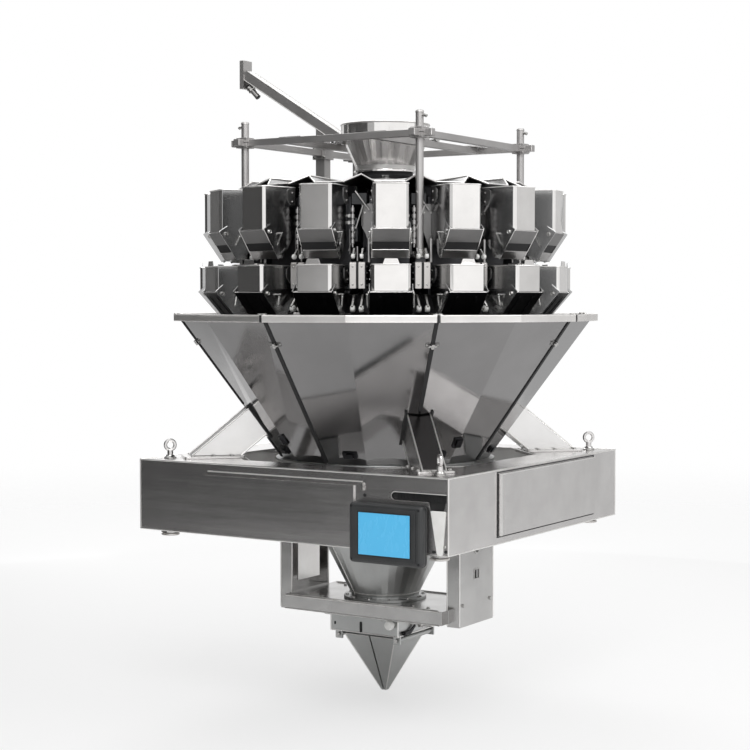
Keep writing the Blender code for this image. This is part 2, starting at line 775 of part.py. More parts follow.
def drive_boxes():
    bm = bmesh.new()
    for index in range(HEADS):
        block(bm, (DRUM_RADIUS - SUNK, DRIVE_FRONT), (-DRIVE_HALF, DRIVE_HALF), (DRIVE_LOW, DRIVE_TOP),
              turned(head_angle(index)))
    return add_object("drive_boxes", bm)


def drive_columns():
    bm = bmesh.new()
    for index in range(HEADS):
        block(bm, (DRUM_RADIUS - SUNK, COLUMN_FRONT), (-COLUMN_HALF, COLUMN_HALF),
              (COLUMN_TOP - COLUMN_HEIGHT, COLUMN_TOP), turned(index * HEAD_STEP))
    return add_object("drive_columns", bm)


def pole_arms():
    bm = bmesh.new()
    top = POLE_LOW - GAP
    for i in range(4):
        block(bm, (DRUM_RADIUS - SUNK, POLE_ARM_FRONT), (-POLE_ARM_HALF, POLE_ARM_HALF),
              (top - POLE_ARM_HEIGHT, top), turned(EIGHTH_TURN + i * RIGHT_ANGLE))
    return add_object("pole_arms", bm)


def vibrators():
    bm = bmesh.new()
    for index in range(HEADS):
        block(bm, (VIBRATOR_INNER, VIBRATOR_OUTER), (-VIBRATOR_HALF, VIBRATOR_HALF),
              (DRUM_TOP - SUNK, PAN_FLOOR - PAN_WALL - GAP), turned(head_angle(index)))
    return add_object("vibrators", bm)


def cone_post():
    bm = bmesh.new()
    prism(bm, circle(POST_RADIUS, POST_SEGMENTS), DRUM_TOP - SUNK, CONE_STEM_LOW - GAP)
    return add_object("cone_post", bm)


def build_drum():
    bm = bmesh.new()
    prism(bm, circle(DRUM_RADIUS, DRUM_SEGMENTS), DRUM_LOW, DRUM_TOP)
    drum = add_object("drive_drum", bm)
    join(drum, drum_hub(), drive_boxes(), drive_columns(), pole_arms(), vibrators(), cone_post())
    finish(drum, DARK_STEEL)


def pan_station(index, inner):
    """The (radius, angle, height) of the trough edges of one head, at the inner or the outer end."""
    middle = head_angle(index)
    rise = PAN_RISE_INNER if inner else PAN_RISE_OUTER
    floor_radius = PAN_INNER if inner else PAN_OUTER
    ridge_radius = PAN_INNER if inner else PAN_NOTCH
    return [
        (ridge_radius, middle - HEAD_STEP / 2, PAN_FLOOR + rise),
        (floor_radius, middle - PAN_FLOOR_ANGLE, PAN_FLOOR),
        (floor_radius, middle + PAN_FLOOR_ANGLE, PAN_FLOOR),
    ]


def pan_loop(bm, inner, drop):
    loop = []
    for index in range(HEADS):
        for radius, angle, height in pan_station(index, inner):
            loop.append(bm.verts.new(polar(radius, angle) + Vector((0, 0, height - drop))))
    return loop


def build_feeder_pans():
    """Sixteen troughs pressed from one ring, with ridges between them that are cut back at the rim."""
    bm = bmesh.new()
    inner_top, outer_top = pan_loop(bm, True, 0), pan_loop(bm, False, 0)
    outer_low, inner_low = pan_loop(bm, False, PAN_WALL), pan_loop(bm, True, PAN_WALL)
    loft(bm, (inner_top, outer_top, outer_low, inner_low, inner_top))
    bmesh.ops.triangulate(bm, faces=bm.faces[:])
    finish(add_object("feeder_pans", bm), STEEL)


def build_cone():
    rim = CONE_STEM_LOW + CONE_STEM_HEIGHT + CONE_RIM_RISE
    peak = rim + CONE_RIM_THICK + CONE_RISE
    profile = [
        (0, peak),
        (CONE_CROWN_RADIUS, peak - CONE_CROWN_DROP),
        (CONE_RADIUS, rim + CONE_RIM_THICK),
        (CONE_RADIUS, rim),
        (CONE_STEM, CONE_STEM_LOW + CONE_STEM_HEIGHT),
        (CONE_STEM, CONE_STEM_LOW),
        (0, CONE_STEM_LOW),
    ]
    bm = bmesh.new()
    revolve(bm, profile, CONE_SEGMENTS)
    finish(add_object("top_cone", bm, smooth=True), STEEL)


# Chute, legs and lower funnel


def chute_profile():
    """The wall and its folded rim as a closed (radius, height) outline."""
    slope = (CHUTE_TOP - CHUTE_BOTTOM) / CHUTE_HEIGHT
    level_wall = CHUTE_WALL * math.hypot(1, slope)
    inner_low = CHUTE_BOTTOM - level_wall
    return [
        (CHUTE_BOTTOM, CHUTE_LOW),
        (CHUTE_TOP, RIM_LOW),
        (CHUTE_LIP, RIM_LOW),
        (CHUTE_LIP, RIM_TOP),
        (inner_low + (CHUTE_HEIGHT + RIM_HEIGHT) * slope, RIM_TOP),
        (inner_low, CHUTE_LOW),
    ]


def polar(radius, angle):
    return Vector((radius * math.cos(angle), radius * math.sin(angle), 0))


def chute_row(bm, radius, height):
    """Three points of one panel: next to a seam, at the fold, and next to the other seam."""
    seams = (polar(radius, 0), polar(radius, 2 * FACET_STEP))
    fold = polar(radius, FACET_STEP)
    inset_length = SEAM_HALF_GAP / math.cos(FACET_STEP / 2)
    points = []
    for point in (seams[0], fold, seams[1]):
        if point is not fold:
            point = point + (fold - point).normalized() * inset_length
        points.append(bm.verts.new(point + Vector((0, 0, height))))
    return points


def chute_panel():
    bm = bmesh.new()
    rows = [chute_row(bm, radius, height) for radius, height in chute_profile()]
    for here, there in zip(rows, rows[1:] + rows[:1]):
        for i in range(2):
            bm.faces.new((here[i], here[i + 1], there[i + 1], there[i]))
    bm.faces.new([row[0] for row in rows])
    bm.faces.new([row[2] for row in rows])
    return add_object("chute_panel", bm)


def leg_outline(clear=0.0):
    """One leg in its vertical plane, from the gusset up to the hub, widened all round by a clearance."""
    hub = HUB_HALF + GAP
    low = FRAME_TOP + GAP
    slope = (DRUM_LOW - LEG_UNDER_DRUM - FRAME_TOP) / (LEG_FOOT_OUTER - HUB_HALF)
    rise = clear * math.hypot(1, slope)
    return [
        (LEG_FOOT_INNER, low - rise),
        (LEG_FOOT_OUTER, low - rise),
        (LEG_FOOT_OUTER, low + rise),
        (hub, low + (LEG_FOOT_OUTER - hub) * slope + rise),
        (hub, low + (LEG_FOOT_INNER - hub) * slope - rise),
    ]


def build_chute():
    """Eight folded panels; each has a notch where a leg comes through its seam."""
    for index in range(CHUTE_PANELS):
        panel = chute_panel()
        panel.name = f"chute_panel_{index + 1}"
        panel.rotation_euler.z = index * 2 * FACET_STEP
        bm = bmesh.new()
        half = LEG_HALF + LEG_CLEAR
        for i in range(4):
            prism(bm, leg_outline(LEG_CLEAR), -half, half, upright(EIGHTH_TURN + i * RIGHT_ANGLE))
        cut(panel, add_object("leg_notches", bm))
        finish(panel, STEEL)


def build_legs():
    for i in range(4):
        bm = bmesh.new()
        outline = leg_outline()
        del outline[2]
        prism(bm, outline, -LEG_HALF, LEG_HALF, upright(EIGHTH_TURN + i * RIGHT_ANGLE))
        finish(add_object(f"leg_{i + 1}", bm), STEEL)


def funnel_profile():
    top = CHUTE_LOW - GAP
    slope = (FUNNEL_TOP_RADIUS - FUNNEL_NECK_RADIUS) / (top - FUNNEL_NECK_HIGH)
    level_wall = FUNNEL_WALL * math.hypot(1, slope)
    collar = TRAY_TOP + GAP
    return [
        (FUNNEL_FLANGE, top),
        (FUNNEL_FLANGE, top - FUNNEL_FLANGE_THICK),
        (FUNNEL_TOP_RADIUS - slope * FUNNEL_FLANGE_THICK, top - FUNNEL_FLANGE_THICK),
        (FUNNEL_NECK_RADIUS, FUNNEL_NECK_HIGH),
        (FUNNEL_NECK_RADIUS, collar + FUNNEL_COLLAR_THICK),
        (FUNNEL_COLLAR_RADIUS, collar + FUNNEL_COLLAR_THICK),
        (FUNNEL_COLLAR_RADIUS, collar),
        (FUNNEL_NECK_RADIUS, collar),
        (FUNNEL_NECK_RADIUS, FUNNEL_NECK_LOW),
        (FUNNEL_NECK_RADIUS - FUNNEL_WALL, FUNNEL_NECK_LOW),
        (FUNNEL_NECK_RADIUS - FUNNEL_WALL, FUNNEL_NECK_HIGH),
        (FUNNEL_TOP_RADIUS - level_wall, top),
    ]


def build_lower_funnel():
    bm = bmesh.new()
    revolve(bm, funnel_profile(), FUNNEL_SEGMENTS)
    funnel = add_object("lower_funnel", bm)
    top = CHUTE_LOW - GAP
    bm = bmesh.new()
    for i in range(4):
        block(bm, (FUNNEL_TOP_RADIUS, OPENING_HALF - GAP), (-FUNNEL_ARM_HALF, FUNNEL_ARM_HALF),
              (top - FUNNEL_FLANGE_THICK, top), turned(i * RIGHT_ANGLE))
    join(funnel, add_object("funnel_arms", bm))
    finish(funnel, STEEL)


# Hangers, tray and timing hopper


def hanger_holes():
    """A round bolt hole and a square window through both webs of each channel."""
    bm = bmesh.new()
    across = Matrix.Rotation(RIGHT_ANGLE, 4, "Y")
    hole = circle(HANGER_HOLE_RADIUS, HANGER_HOLE_SEGMENTS)
    half = HANGER_WINDOW_HALF
    window = rectangle(-half, half, -half, half)
    for side in (-1, 1):
        start, end = about(side * HANGER_X, HANGER_HALF_DEPTH + SUNK)
        for outline, drop in ((hole, HANGER_HOLE_DROP), (window, HANGER_WINDOW_DROP)):
            prism(bm, outline, start, end, Matrix.Translation((0, 0, FRAME_LOW - drop)) @ across)
    return add_object("hanger_holes", bm)


def build_hanger():
    """Two channels that hang from the cross bars and a tray between them that holds the timing hopper."""
    bm = bmesh.new()
    reach = HANGER_X - HANGER_HALF_DEPTH + HANGER_WALL
    block(bm, (-reach, reach), (-TRAY_HALF_WIDTH, TRAY_HALF_WIDTH), (TRAY_LOW, TRAY_TOP))
    hanger = add_object("hopper_hanger", bm)
    bm = bmesh.new()
    for side in (-1, 1):
        block(bm, about(side * HANGER_X, HANGER_HALF_DEPTH), (-HANGER_HALF_WIDTH, HANGER_HALF_WIDTH),
              (HANGER_LOW, FRAME_LOW - GAP))
    join(hanger, add_object("hanger_channels", bm))
    bm = bmesh.new()
    for side in (-1, 1):
        inside = side * (HANGER_X - HANGER_WALL)
        block(bm, about(inside, HANGER_HALF_DEPTH),
              (HANGER_WALL - HANGER_HALF_WIDTH, HANGER_HALF_WIDTH - HANGER_WALL),
              (TRAY_TOP + HANGER_WALL, FRAME_LOW - HANGER_WALL))
    cut(hanger, add_object("hanger_hollows", bm), hanger_holes())
    bm = bmesh.new()
    prism(bm, circle(TRAY_HOLE_RADIUS, FUNNEL_SEGMENTS), TRAY_LOW - SUNK, TRAY_TOP + SUNK)
    cut(hanger, add_object("tray_hole", bm))
    finish(hanger, STEEL)


def timing_shell():
    top = TRAY_LOW - GAP
    bm = bmesh.new()
    span = (-TIMING_HALF, TIMING_HALF)
    block(bm, span, span, (TIMING_LOW, top))
    shell = add_object("timing_hopper", bm)
    bm = bmesh.new()
    span = (-TIMING_FLANGE_HALF, TIMING_FLANGE_HALF)
    block(bm, span, span, (top - TIMING_FLANGE_THICK, top))
    join(shell, add_object("timing_flange", bm))
    return shell


def frustum(bm, half_low, low, half_high, high):
    rings = []
    for half, height in ((half_low, low), (half_high, high)):
        rings.append([bm.verts.new((x, y, height)) for x, y in rectangle(-half, half, -half, half)])
    loft(bm, rings)
    bm.faces.new(rings[0])
    bm.faces.new(rings[1])


def build_timing_hopper():
    """A short square chute that narrows to the gates, with lugs that carry their pins."""
    shell = timing_shell()
    bm = bmesh.new()
    for side in (-1, 1):
        for end in (-1, 1):
            y = end * (GATE_TOP_HALF + LUG_CLEAR + LUG_THICK / 2)
            block(bm, about(side * HINGE_X, LUG_HALF), about(y, LUG_THICK / 2),
                  (HINGE_Z - LUG_HALF, TIMING_LOW + SUNK))
    join(shell, add_object("timing_lugs", bm))
    bm = bmesh.new()
    mouth = TIMING_HALF - TIMING_WALL
    throat = GATE_TOP_HALF - GATE_WALL - TIMING_WALL
    frustum(bm, throat, TIMING_LOW, mouth, TRAY_LOW - TIMING_FLANGE_THICK)
    tunnel = add_object("timing_taper", bm)
    bm = bmesh.new()
    block(bm, (-throat, throat), (-throat, throat), (TIMING_LOW - SUNK, TRAY_LOW + SUNK))
    join(tunnel, add_object("timing_throat", bm))
    cut(shell, tunnel)
    bm = bmesh.new()
    reach = TIMING_HALF + SUNK
    for side in (-1, 1):
        prism(bm, circle(HINGE_PIN_RADIUS + HINGE_HOLE_CLEAR, HINGE_SEGMENTS), -reach, reach,
              Matrix.Translation((side * HINGE_X, 0, HINGE_Z)) @ Matrix.Rotation(RIGHT_ANGLE, 4, "X"))
    cut(shell, add_object("hinge_holes", bm))
    finish(shell, STEEL)


def gate_shell(side):
    """Half of a hollow upturned pyramid, open at the top and at the parting line."""
    bm = bmesh.new()
    frustum(bm, GATE_TIP_HALF, GATE_TIP, GATE_TOP_HALF, GATE_TOP)
    gate = add_object("gate", bm)
    slope = (GATE_TOP_HALF - GATE_TIP_HALF) / (GATE_TOP - GATE_TIP)
    level_wall = GATE_WALL * math.hypot(1, slope)
    low_half = GATE_TIP_HALF - level_wall + GATE_WALL * slope
    bm = bmesh.new()
    frustum(bm, low_half, GATE_TIP + GATE_WALL, GATE_TOP_HALF - level_wall + SUNK * slope, GATE_TOP + SUNK)
    hollow = add_object("gate_hollow", bm)
    bm = bmesh.new()
    reach = GATE_TOP_HALF + SUNK
    ends = sorted((side * GATE_PARTING, -side * reach))
    block(bm, ends, (-reach, reach), (GATE_TIP - SUNK, GATE_TOP + SUNK))
    return cut(gate, hollow, add_object("gate_other_half", bm))


def build_gate(name, side):
    gate = gate_shell(side)
    lay = Matrix.Translation((side * HINGE_X, 0, HINGE_Z)) @ Matrix.Rotation(RIGHT_ANGLE, 4, "X")
    lug_face = GATE_TOP_HALF + LUG_CLEAR
    bm = bmesh.new()
    prism(bm, circle(HINGE_BARREL_RADIUS, HINGE_SEGMENTS), GAP - lug_face, lug_face - GAP, lay)
    barrel = add_object("gate_barrel", bm)
    bm = bmesh.new()
    pin_reach = lug_face + LUG_THICK + HINGE_PIN_REACH
    prism(bm, circle(HINGE_PIN_RADIUS, HINGE_SEGMENTS), -pin_reach, pin_reach, lay)
    pin = add_object("gate_pin", bm)
    bm = bmesh.new()
    ends = sorted((side * (GATE_TOP_HALF - HINGE_BARREL_RADIUS), side * HINGE_X))
    half = GATE_TOP_HALF - HINGE_BARREL_RADIUS
    block(bm, ends, (-half, half), about(HINGE_Z - HINGE_PIN_RADIUS / 2, HINGE_PIN_RADIUS / 2))
    leaf = add_object("gate_leaf", bm)
    gate.name = name
    join(gate, leaf, barrel, pin)
    gate.data.transform(Matrix.Translation((-side * HINGE_X, 0, -HINGE_Z)))
    gate.location = (side * HINGE_X, 0, HINGE_Z)
    finish(gate, STEEL)


# Top frame, infeed funnel and sensor


def bars_along(axis_turn, offsets, reach):
    bm = bmesh.new()
    for offset in offsets:
        block(bm, (-reach, reach), about(offset, BAR_HALF), about(BAR_Z, BAR_HALF), turned(axis_turn))
    return add_object("bars", bm)


def build_top_frame():
    """Four poles, the square of bars clamped to them, and two inner bars that carry the infeed funnel."""
    ends = (-POLE_OFFSET, POLE_OFFSET)
    frame = bars_along(0, ends, BAR_REACH)
    frame.name = "top_frame"
    clamps = bmesh.new()
    poles = bmesh.new()
    for x in ends:
        for y in ends:
            block(clamps, about(x, CLAMP_HALF), about(y, CLAMP_HALF), about(BAR_Z, CLAMP_HALF_HEIGHT))
            prism(poles, circle(POLE_RADIUS, POLE_SEGMENTS), POLE_LOW, POLE_TOP,
                  Matrix.Translation((x, y, 0)))
    join(frame, bars_along(RIGHT_ANGLE, ends, BAR_REACH))
    join(frame, bars_along(RIGHT_ANGLE, (-INNER_BAR_X, INNER_BAR_X), POLE_OFFSET))
    join(frame, add_object("clamps", clamps), add_object("poles", poles))
    finish(frame, STEEL)


def infeed_profile():
    return [
        (INFEED_TOP_RADIUS, INFEED_TOP),
        (INFEED_TOP_RADIUS, INFEED_BAND_LOW),
        (INFEED_NECK_RADIUS, INFEED_NECK_Z),
        (INFEED_FLANGE_RADIUS, INFEED_NECK_Z),
        (INFEED_FLANGE_RADIUS, INFEED_LOW),
        (INFEED_NECK_RADIUS - INFEED_WALL, INFEED_LOW),
        (INFEED_NECK_RADIUS - INFEED_WALL, INFEED_NECK_Z),
        (INFEED_TOP_RADIUS - INFEED_WALL, INFEED_BAND_LOW),
        (INFEED_TOP_RADIUS - INFEED_WALL, INFEED_TOP),
    ]


def build_infeed_funnel():
    bm = bmesh.new()
    revolve(bm, infeed_profile(), INFEED_SEGMENTS)
    funnel = add_object("infeed_funnel", bm)
    bm = bmesh.new()
    low = BAR_Z + BAR_HALF + GAP
    inner = INFEED_TOP_RADIUS - FUNNEL_TAB_IN
    outer = INNER_BAR_X + FUNNEL_TAB_OUT
    for side in (-1, 1):
        for end in (-1, 1):
            block(bm, sorted((side * inner, side * outer)),
                  sorted((end * FUNNEL_TAB_NEAR_Y, end * FUNNEL_TAB_FAR_Y)), (low, low + FUNNEL_TAB_THICK))
    join(funnel, add_object("funnel_tabs", bm))
    finish(funnel, STEEL)


def arm_frame():
    """The arm's length, and the matrix that lays local X along it from its low end."""
    run = ARM_INSIDE_POLE + ARM_OUTSIDE_POLE
    rise = ARM_HIGH_RISE - ARM_LOW_RISE
    tilt = math.atan2(rise, run)
    start = (ARM_INSIDE_POLE - POLE_OFFSET, ARM_Y, BAR_Z + ARM_LOW_RISE)
    return math.hypot(run, rise), Matrix.Translation(start) @ Matrix.Rotation(math.pi + tilt, 4, "Y")


def arm_channel():
    """A folded channel that is open underneath."""
    length, matrix = arm_frame()
    bm = bmesh.new()
    block(bm, (0, length), about(0, ARM_HALF_WIDTH), about(0, ARM_HALF_DEPTH), matrix)
    channel = add_object("arm_channel", bm)
    bm = bmesh.new()
    inside = ARM_HALF_WIDTH - ARM_WALL
    block(bm, (ARM_WALL, length + SUNK), (-inside, inside),
          (ARM_WALL - ARM_HALF_DEPTH, ARM_HALF_DEPTH + SUNK), matrix)
    return cut(channel, add_object("arm_hollow", bm))


def build_sensor_arm():
    post_x = -POLE_OFFSET
    bm = bmesh.new()
    block(bm, about(post_x, SENSOR_POST_HALF), about(ARM_Y, SENSOR_POST_HALF),
          (BAR_Z - SENSOR_POST_BELOW_BAR, BAR_Z + SENSOR_POST_OVER_BAR))
    arm = add_object("sensor_arm", bm)
    bm = bmesh.new()
    block(bm, about(post_x, SENSOR_CLAMP_HALF), about(ARM_Y, SENSOR_CLAMP_HALF_WIDTH),
          about(BAR_Z, SENSOR_CLAMP_HALF_HEIGHT))
    join(arm, add_object("sensor_clamp", bm), arm_channel())
    bm = bmesh.new()
    end_x = post_x - ARM_OUTSIDE_POLE
    block(bm, (end_x - END_PLATE_THICK, end_x), about(ARM_Y, END_PLATE_HALF_WIDTH),
          about(BAR_Z + ARM_HIGH_RISE, END_PLATE_HALF_HEIGHT))
    join(arm, add_object("end_plate", bm))
    bm = bmesh.new()
    clear = BAR_HALF + GAP
    block(bm, about(post_x, clear), about(ARM_Y, SENSOR_CLAMP_HALF_WIDTH + SUNK), about(BAR_Z, clear))
    cut(arm, add_object("bar_passage", bm))
    finish(arm, STEEL)


def build_sensor():
    bm = bmesh.new()
    plate = -POLE_OFFSET - ARM_OUTSIDE_POLE + GAP
    height = BAR_Z + ARM_HIGH_RISE - END_PLATE_HALF_HEIGHT + SENSOR_FROM_PLATE_END
    place = Matrix.Translation((plate, ARM_Y, height)) @ Matrix.Rotation(RIGHT_ANGLE + EIGHTH_TURN, 4, "Y")
    prism(bm, circle(SENSOR_RADIUS, SENSOR_SEGMENTS), SENSOR_RADIUS, SENSOR_LENGTH, place)
    finish(add_object("sensor", bm), DARK_STEEL)


def main():
    clear_scene()
    axis = bpy.data.objects.new("machine_axis", None)
    bpy.context.scene.collection.objects.link(axis)
    axis.location = (-FOOT_OFFSET, FOOT_OFFSET, 0)
    build_base_frame()
    build_screen()
    build_feed_hoppers()
    build_weigh_hoppers()
    build_drum()
    build_feeder_pans()
    build_cone()
    build_chute()
    build_legs()
    build_lower_funnel()
    build_hanger()
    build_timing_hopper()
    build_gate("timing_gate_1", -1)
    build_gate("timing_gate_2", 1)
    build_top_frame()
    build_infeed_funnel()
    build_sensor_arm()
    build_sensor()


main()
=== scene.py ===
"""Finishes and fine detail of the sixteen head weigher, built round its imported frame."""

import math
from contextlib import contextmanager

import bmesh
import bpy
from mathutils import Matrix, Vector


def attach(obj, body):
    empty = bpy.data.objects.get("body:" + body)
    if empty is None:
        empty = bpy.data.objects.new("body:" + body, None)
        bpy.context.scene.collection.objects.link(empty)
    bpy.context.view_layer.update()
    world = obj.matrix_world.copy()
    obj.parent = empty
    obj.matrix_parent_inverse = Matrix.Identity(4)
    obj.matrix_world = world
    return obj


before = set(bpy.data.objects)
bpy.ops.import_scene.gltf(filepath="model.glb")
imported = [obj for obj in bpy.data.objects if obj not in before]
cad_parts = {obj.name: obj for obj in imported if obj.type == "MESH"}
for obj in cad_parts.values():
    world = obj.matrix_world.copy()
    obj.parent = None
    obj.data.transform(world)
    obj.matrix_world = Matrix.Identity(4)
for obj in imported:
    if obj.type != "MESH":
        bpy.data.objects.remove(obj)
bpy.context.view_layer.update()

FULL_TURN = math.tau
HALF_TURN = math.pi
RIGHT_ANGLE = math.pi / 2
EIGHTH_TURN = math.pi / 4
SIDES = (-1, 1)
CORNERS = ((-1, -1), (-1, 1), (1, -1), (1, 1))

# The machine's axis in the row frame, and the levels and radii that the pieces hang on, in metres.
FOOT_OFFSET = 0.484
FOOT_RADIUS = FOOT_OFFSET * math.sqrt(2)
AXIS = Matrix.Translation((-FOOT_OFFSET, FOOT_OFFSET, 0))
FRAME_HALF = 0.55
FRAME_LOW = 0.023
FRAME_TOP = 0.239
OPENING_HALF = 0.414
GUSSET_LEG = 0.184
HOUSING_X = 0.366
HOUSING_Z = 0.0745
HOUSING_DEPTH = 0.038
HEADS = 16
HEAD_STEP = FULL_TURN / HEADS
# How many times a piece goes round the axis, and how far its first copy is turned.
HEAD_RING = (HEADS, HEAD_STEP / 2)
GAP_RING = (HEADS, 0.0)
SEAM_RING = (8, 0.0)
SIDE_RING = (4, 0.0)
LEG_RING = (4, EIGHTH_TURN)
DRUM_RADIUS = 0.345
COLUMN_FRONT = 0.482
# Each hopper's mouth as inner radius, outer radius, half width and height; its slope as (radius, height).
FEED_MOUTH = (0.443, 0.568, 0.0505, 1.061)
FEED_KINK = (0.568, 0.935)
FEED_TIP = (0.513, 0.852)
FEED_DOOR_HALF = 0.0555
WEIGH_MOUTH = (0.45, 0.583, 0.0555, 0.83)
WEIGH_KINK = (0.583, 0.755)
WEIGH_TIP = (0.508, 0.668)
WEIGH_DOOR_HALF = 0.063
DOOR_LIFT = 0.0022
DOOR_MARGIN = 0.0015
MOUTH_CORNER = 0.0075
RIM_WIRE = 0.0019
PAN_FLOOR = 1.073
PAN_RIDGE_Z = 1.097
PAN_INNER = 0.13
PAN_OUTER = 0.466
PAN_NOTCH = 0.425
PAN_FLOOR_ANGLE = math.radians(5.5)
CONE_PEAK = 1.112
CHUTE_LOW = 0.233
CHUTE_BOTTOM = 0.331
CHUTE_TOP = 0.647
CHUTE_LIP = 0.67
RIM_LOW = 0.666
RIM_TOP = 0.684
RIM_GAP_ANGLE = 0.008
LEG_FOOT = (0.476, 0.631)
LEG_HALF = 0.035
LEG_SLOPE = 0.818
HUB_REACH = 0.165
HANGER_X = 0.312
HANGER_HALF_DEPTH = 0.022
HANGER_HALF_WIDTH = 0.106
HANGER_LOW = -0.271
TRAY_HALF_WIDTH = 0.148
TRAY_TOP = -0.219
TRAY_LOW = -0.261
COLLAR_RADIUS = 0.132
TIMING_HALF = 0.125
TIMING_LOW = -0.318
TIMING_FLANGE_LOW = TRAY_LOW - 0.0066
CYLINDER_X = TIMING_HALF + 0.021
CYLINDER_Z = -0.292
GATE_TOP = -0.331
GATE_TIP = -0.52
GATE_TOP_HALF = 0.094
GATE_TIP_HALF = 0.008
HINGE_X = 0.108
HINGE_Z = -0.334
POLE_OFFSET = 0.3161
POLE_LOW = 0.853
POLE_TOP = 1.276
BAR_Z = 1.216
BAR_REACH = 0.3601
BAR_HALF = 0.01
CLAMP_HALF = 0.0205
CLAMP_HALF_HEIGHT = 0.016
INNER_BAR_X = 0.155
INFEED_RADIUS = 0.14
INFEED_TOP = 1.281
INFEED_BAND_LOW = 1.24
INFEED_NECK_RADIUS = 0.089
INFEED_NECK_Z = 1.137
INFEED_FLANGE_RADIUS = 0.1
ARM_Y = 0.115
ARM_START_X = -0.197
ARM_START_Z = 1.234
PLATE_X = -0.627
PLATE_FACE = PLATE_X - 0.016
ARM_END_Z = 1.497
SENSOR_Z = 1.463

# How far a thin piece is sunk into the face that carries it.
SUNK = -0.001
# Widths of the roundings on edges, from small turned parts to folded plate.
TURNED_EDGE = 0.0004
CUT_EDGE = 0.0005
SHEET_EDGE = 0.0006
PLATE_EDGE = 0.0008
PANEL_EDGE = 0.001
SHARP_ANGLE = math.radians(40)

# Photograph's camera: its place round the axis, and its aim.
CAMERA_PLACE = (2.851, -4.548, 0.7254)
CAMERA_PITCH = math.radians(2.504)
CAMERA_HEADING = math.radians(122.43)
CAMERA_LENS = 80.925
SENSOR_WIDTH = 36
FLOOR_LEVEL = -0.53
FLOOR_REACH = 9.0
FLOOR_FADE = 3.0
FLOOR_WHITENESS = 0.6
CARD_RADIUS = 3.2
CARD_TOP = 2.6
CARD_STEP = 3
ROOM_LIGHT = 0.8
WHITE = "FFFFFF"


# Materials

# Sizes of their patterns, in metres. The belt marks are drawn coarser than real ones, so that they show.
BELT_MARK = 0.0045
HANDLING_CLOUD = 0.11
WIPE_MARK = 0.03
CASTING_MOTTLE = 0.06
PIT_DEPTH = 0.0004
DUST_PATCH = 0.05
FILM_WIPE = 0.02


def linear(hex_colour):
    """An sRGB hex value as linear RGBA."""
    values = []
    for start in (0, 2, 4):
        value = int(hex_colour[start:start + 2], 16) / 255
        values.append(value / 12.92 if value <= 0.04045 else ((value + 0.055) / 1.055) ** 2.4)
    return (*values, 1)


def add_node(tree, kind, links=None, out=0, **settings):
    """Adds a node and gives its output; links sets its inputs by name or number, as values or other nodes' outputs."""
    made = tree.nodes.new("ShaderNode" + kind)
    for name, value in settings.items():
        setattr(made, name, value)
    for name, value in (links or {}).items():
        if isinstance(value, bpy.types.NodeSocket):
            tree.links.new(value, made.inputs[name])
        else:
            made.inputs[name].default_value = value
    return made.outputs[out] if made.outputs else None


def new_material(name, colour, metallic, roughness):
    """A material with its shader's constant sockets set, and its tree and shader for the rest."""
    made = bpy.data.materials.new(name)
    made.use_nodes = True
    shader = made.node_tree.nodes["Principled BSDF"]
    shader.inputs["Base Color"].default_value = linear(colour)
    shader.inputs["Metallic"].default_value = metallic
    shader.inputs["Roughness"].default_value = roughness
    made.diffuse_color = linear(colour)
    return made, made.node_tree, shader


def wire(made, tint=None, gloss=None, normal=None):
    """Links what is given to the material's colour, roughness and bump."""
    tree = made.node_tree
    inputs = tree.nodes["Principled BSDF"].inputs
    for socket, value in (("Base Color", tint), ("Roughness", gloss), ("Normal", normal)):
        if value:
            tree.links.new(value, inputs[socket])
    return made


def outward_share(tree, other):
    """How far a direction agrees with the level one from the machine's axis to the shaded point."""
    place = add_node(tree, "NewGeometry", out="Position")
    line = add_node(tree, "VectorMath", {0: place, 1: AXIS.translation}, operation="SUBTRACT")
    level = add_node(tree, "VectorMath", {0: line, 1: (1, 1, 0)}, operation="MULTIPLY")
    unit = add_node(tree, "VectorMath", {0: level}, operation="NORMALIZE")
    return add_node(tree, "VectorMath", {0: unit, 1: other}, out="Value", operation="DOT_PRODUCT")


def rolled_sheet(name, colour, dark, roughness, grain, wave, stretch=(0.3, 0.3, 0.3), wave_size=0.16):
    """Stainless sheet: directional grain from the belt, clouds from handling, and the slight buckling of thin plate.

    grain is the bump of the belt marks in metres, wave that of the buckling, wave_size its length.
    """
    made, tree, _ = new_material(name, colour, 1.0, roughness)
    place = add_node(tree, "TexCoord", out="Object")
    along_belt = add_node(tree, "Mapping", {"Vector": place, "Scale": stretch})
    marks = add_node(tree, "TexNoise", {"Vector": along_belt, "Scale": 1 / BELT_MARK, "Detail": 3, "Roughness": 0.6})
    clouds = add_node(tree, "TexNoise", {"Vector": place, "Scale": 1 / HANDLING_CLOUD, "Detail": 4, "Roughness": 0.55})
    wipes = add_node(tree, "TexNoise", {"Vector": along_belt, "Scale": 1 / WIPE_MARK, "Detail": 2, "Distortion": 0.6})
    shade = add_node(tree, "MapRange", {"Value": clouds, 1: 0.35, 2: 0.7, 3: 0.0, 4: 1.0})
    tint = add_node(tree, "Mix", {0: shade, 6: linear(dark), 7: linear(colour)}, 2, data_type="RGBA")
    both = add_node(tree, "Math", {0: marks, 1: wipes}, operation="ADD")
    gloss = add_node(tree, "MapRange", {"Value": both, 1: 0.7, 2: 1.3, 3: roughness - 0.02, 4: roughness + 0.03})
    buckle = add_node(tree, "TexNoise", {"Vector": place, "Scale": 1 / wave_size, "Detail": 1, "Roughness": 0.3})
    slow = add_node(tree, "Bump", {"Height": buckle, "Distance": wave, "Strength": 1.0})
    fine = add_node(tree, "Bump", {"Height": marks, "Distance": grain, "Strength": 0.5, "Normal": slow})
    return wire(made, tint, gloss, fine)


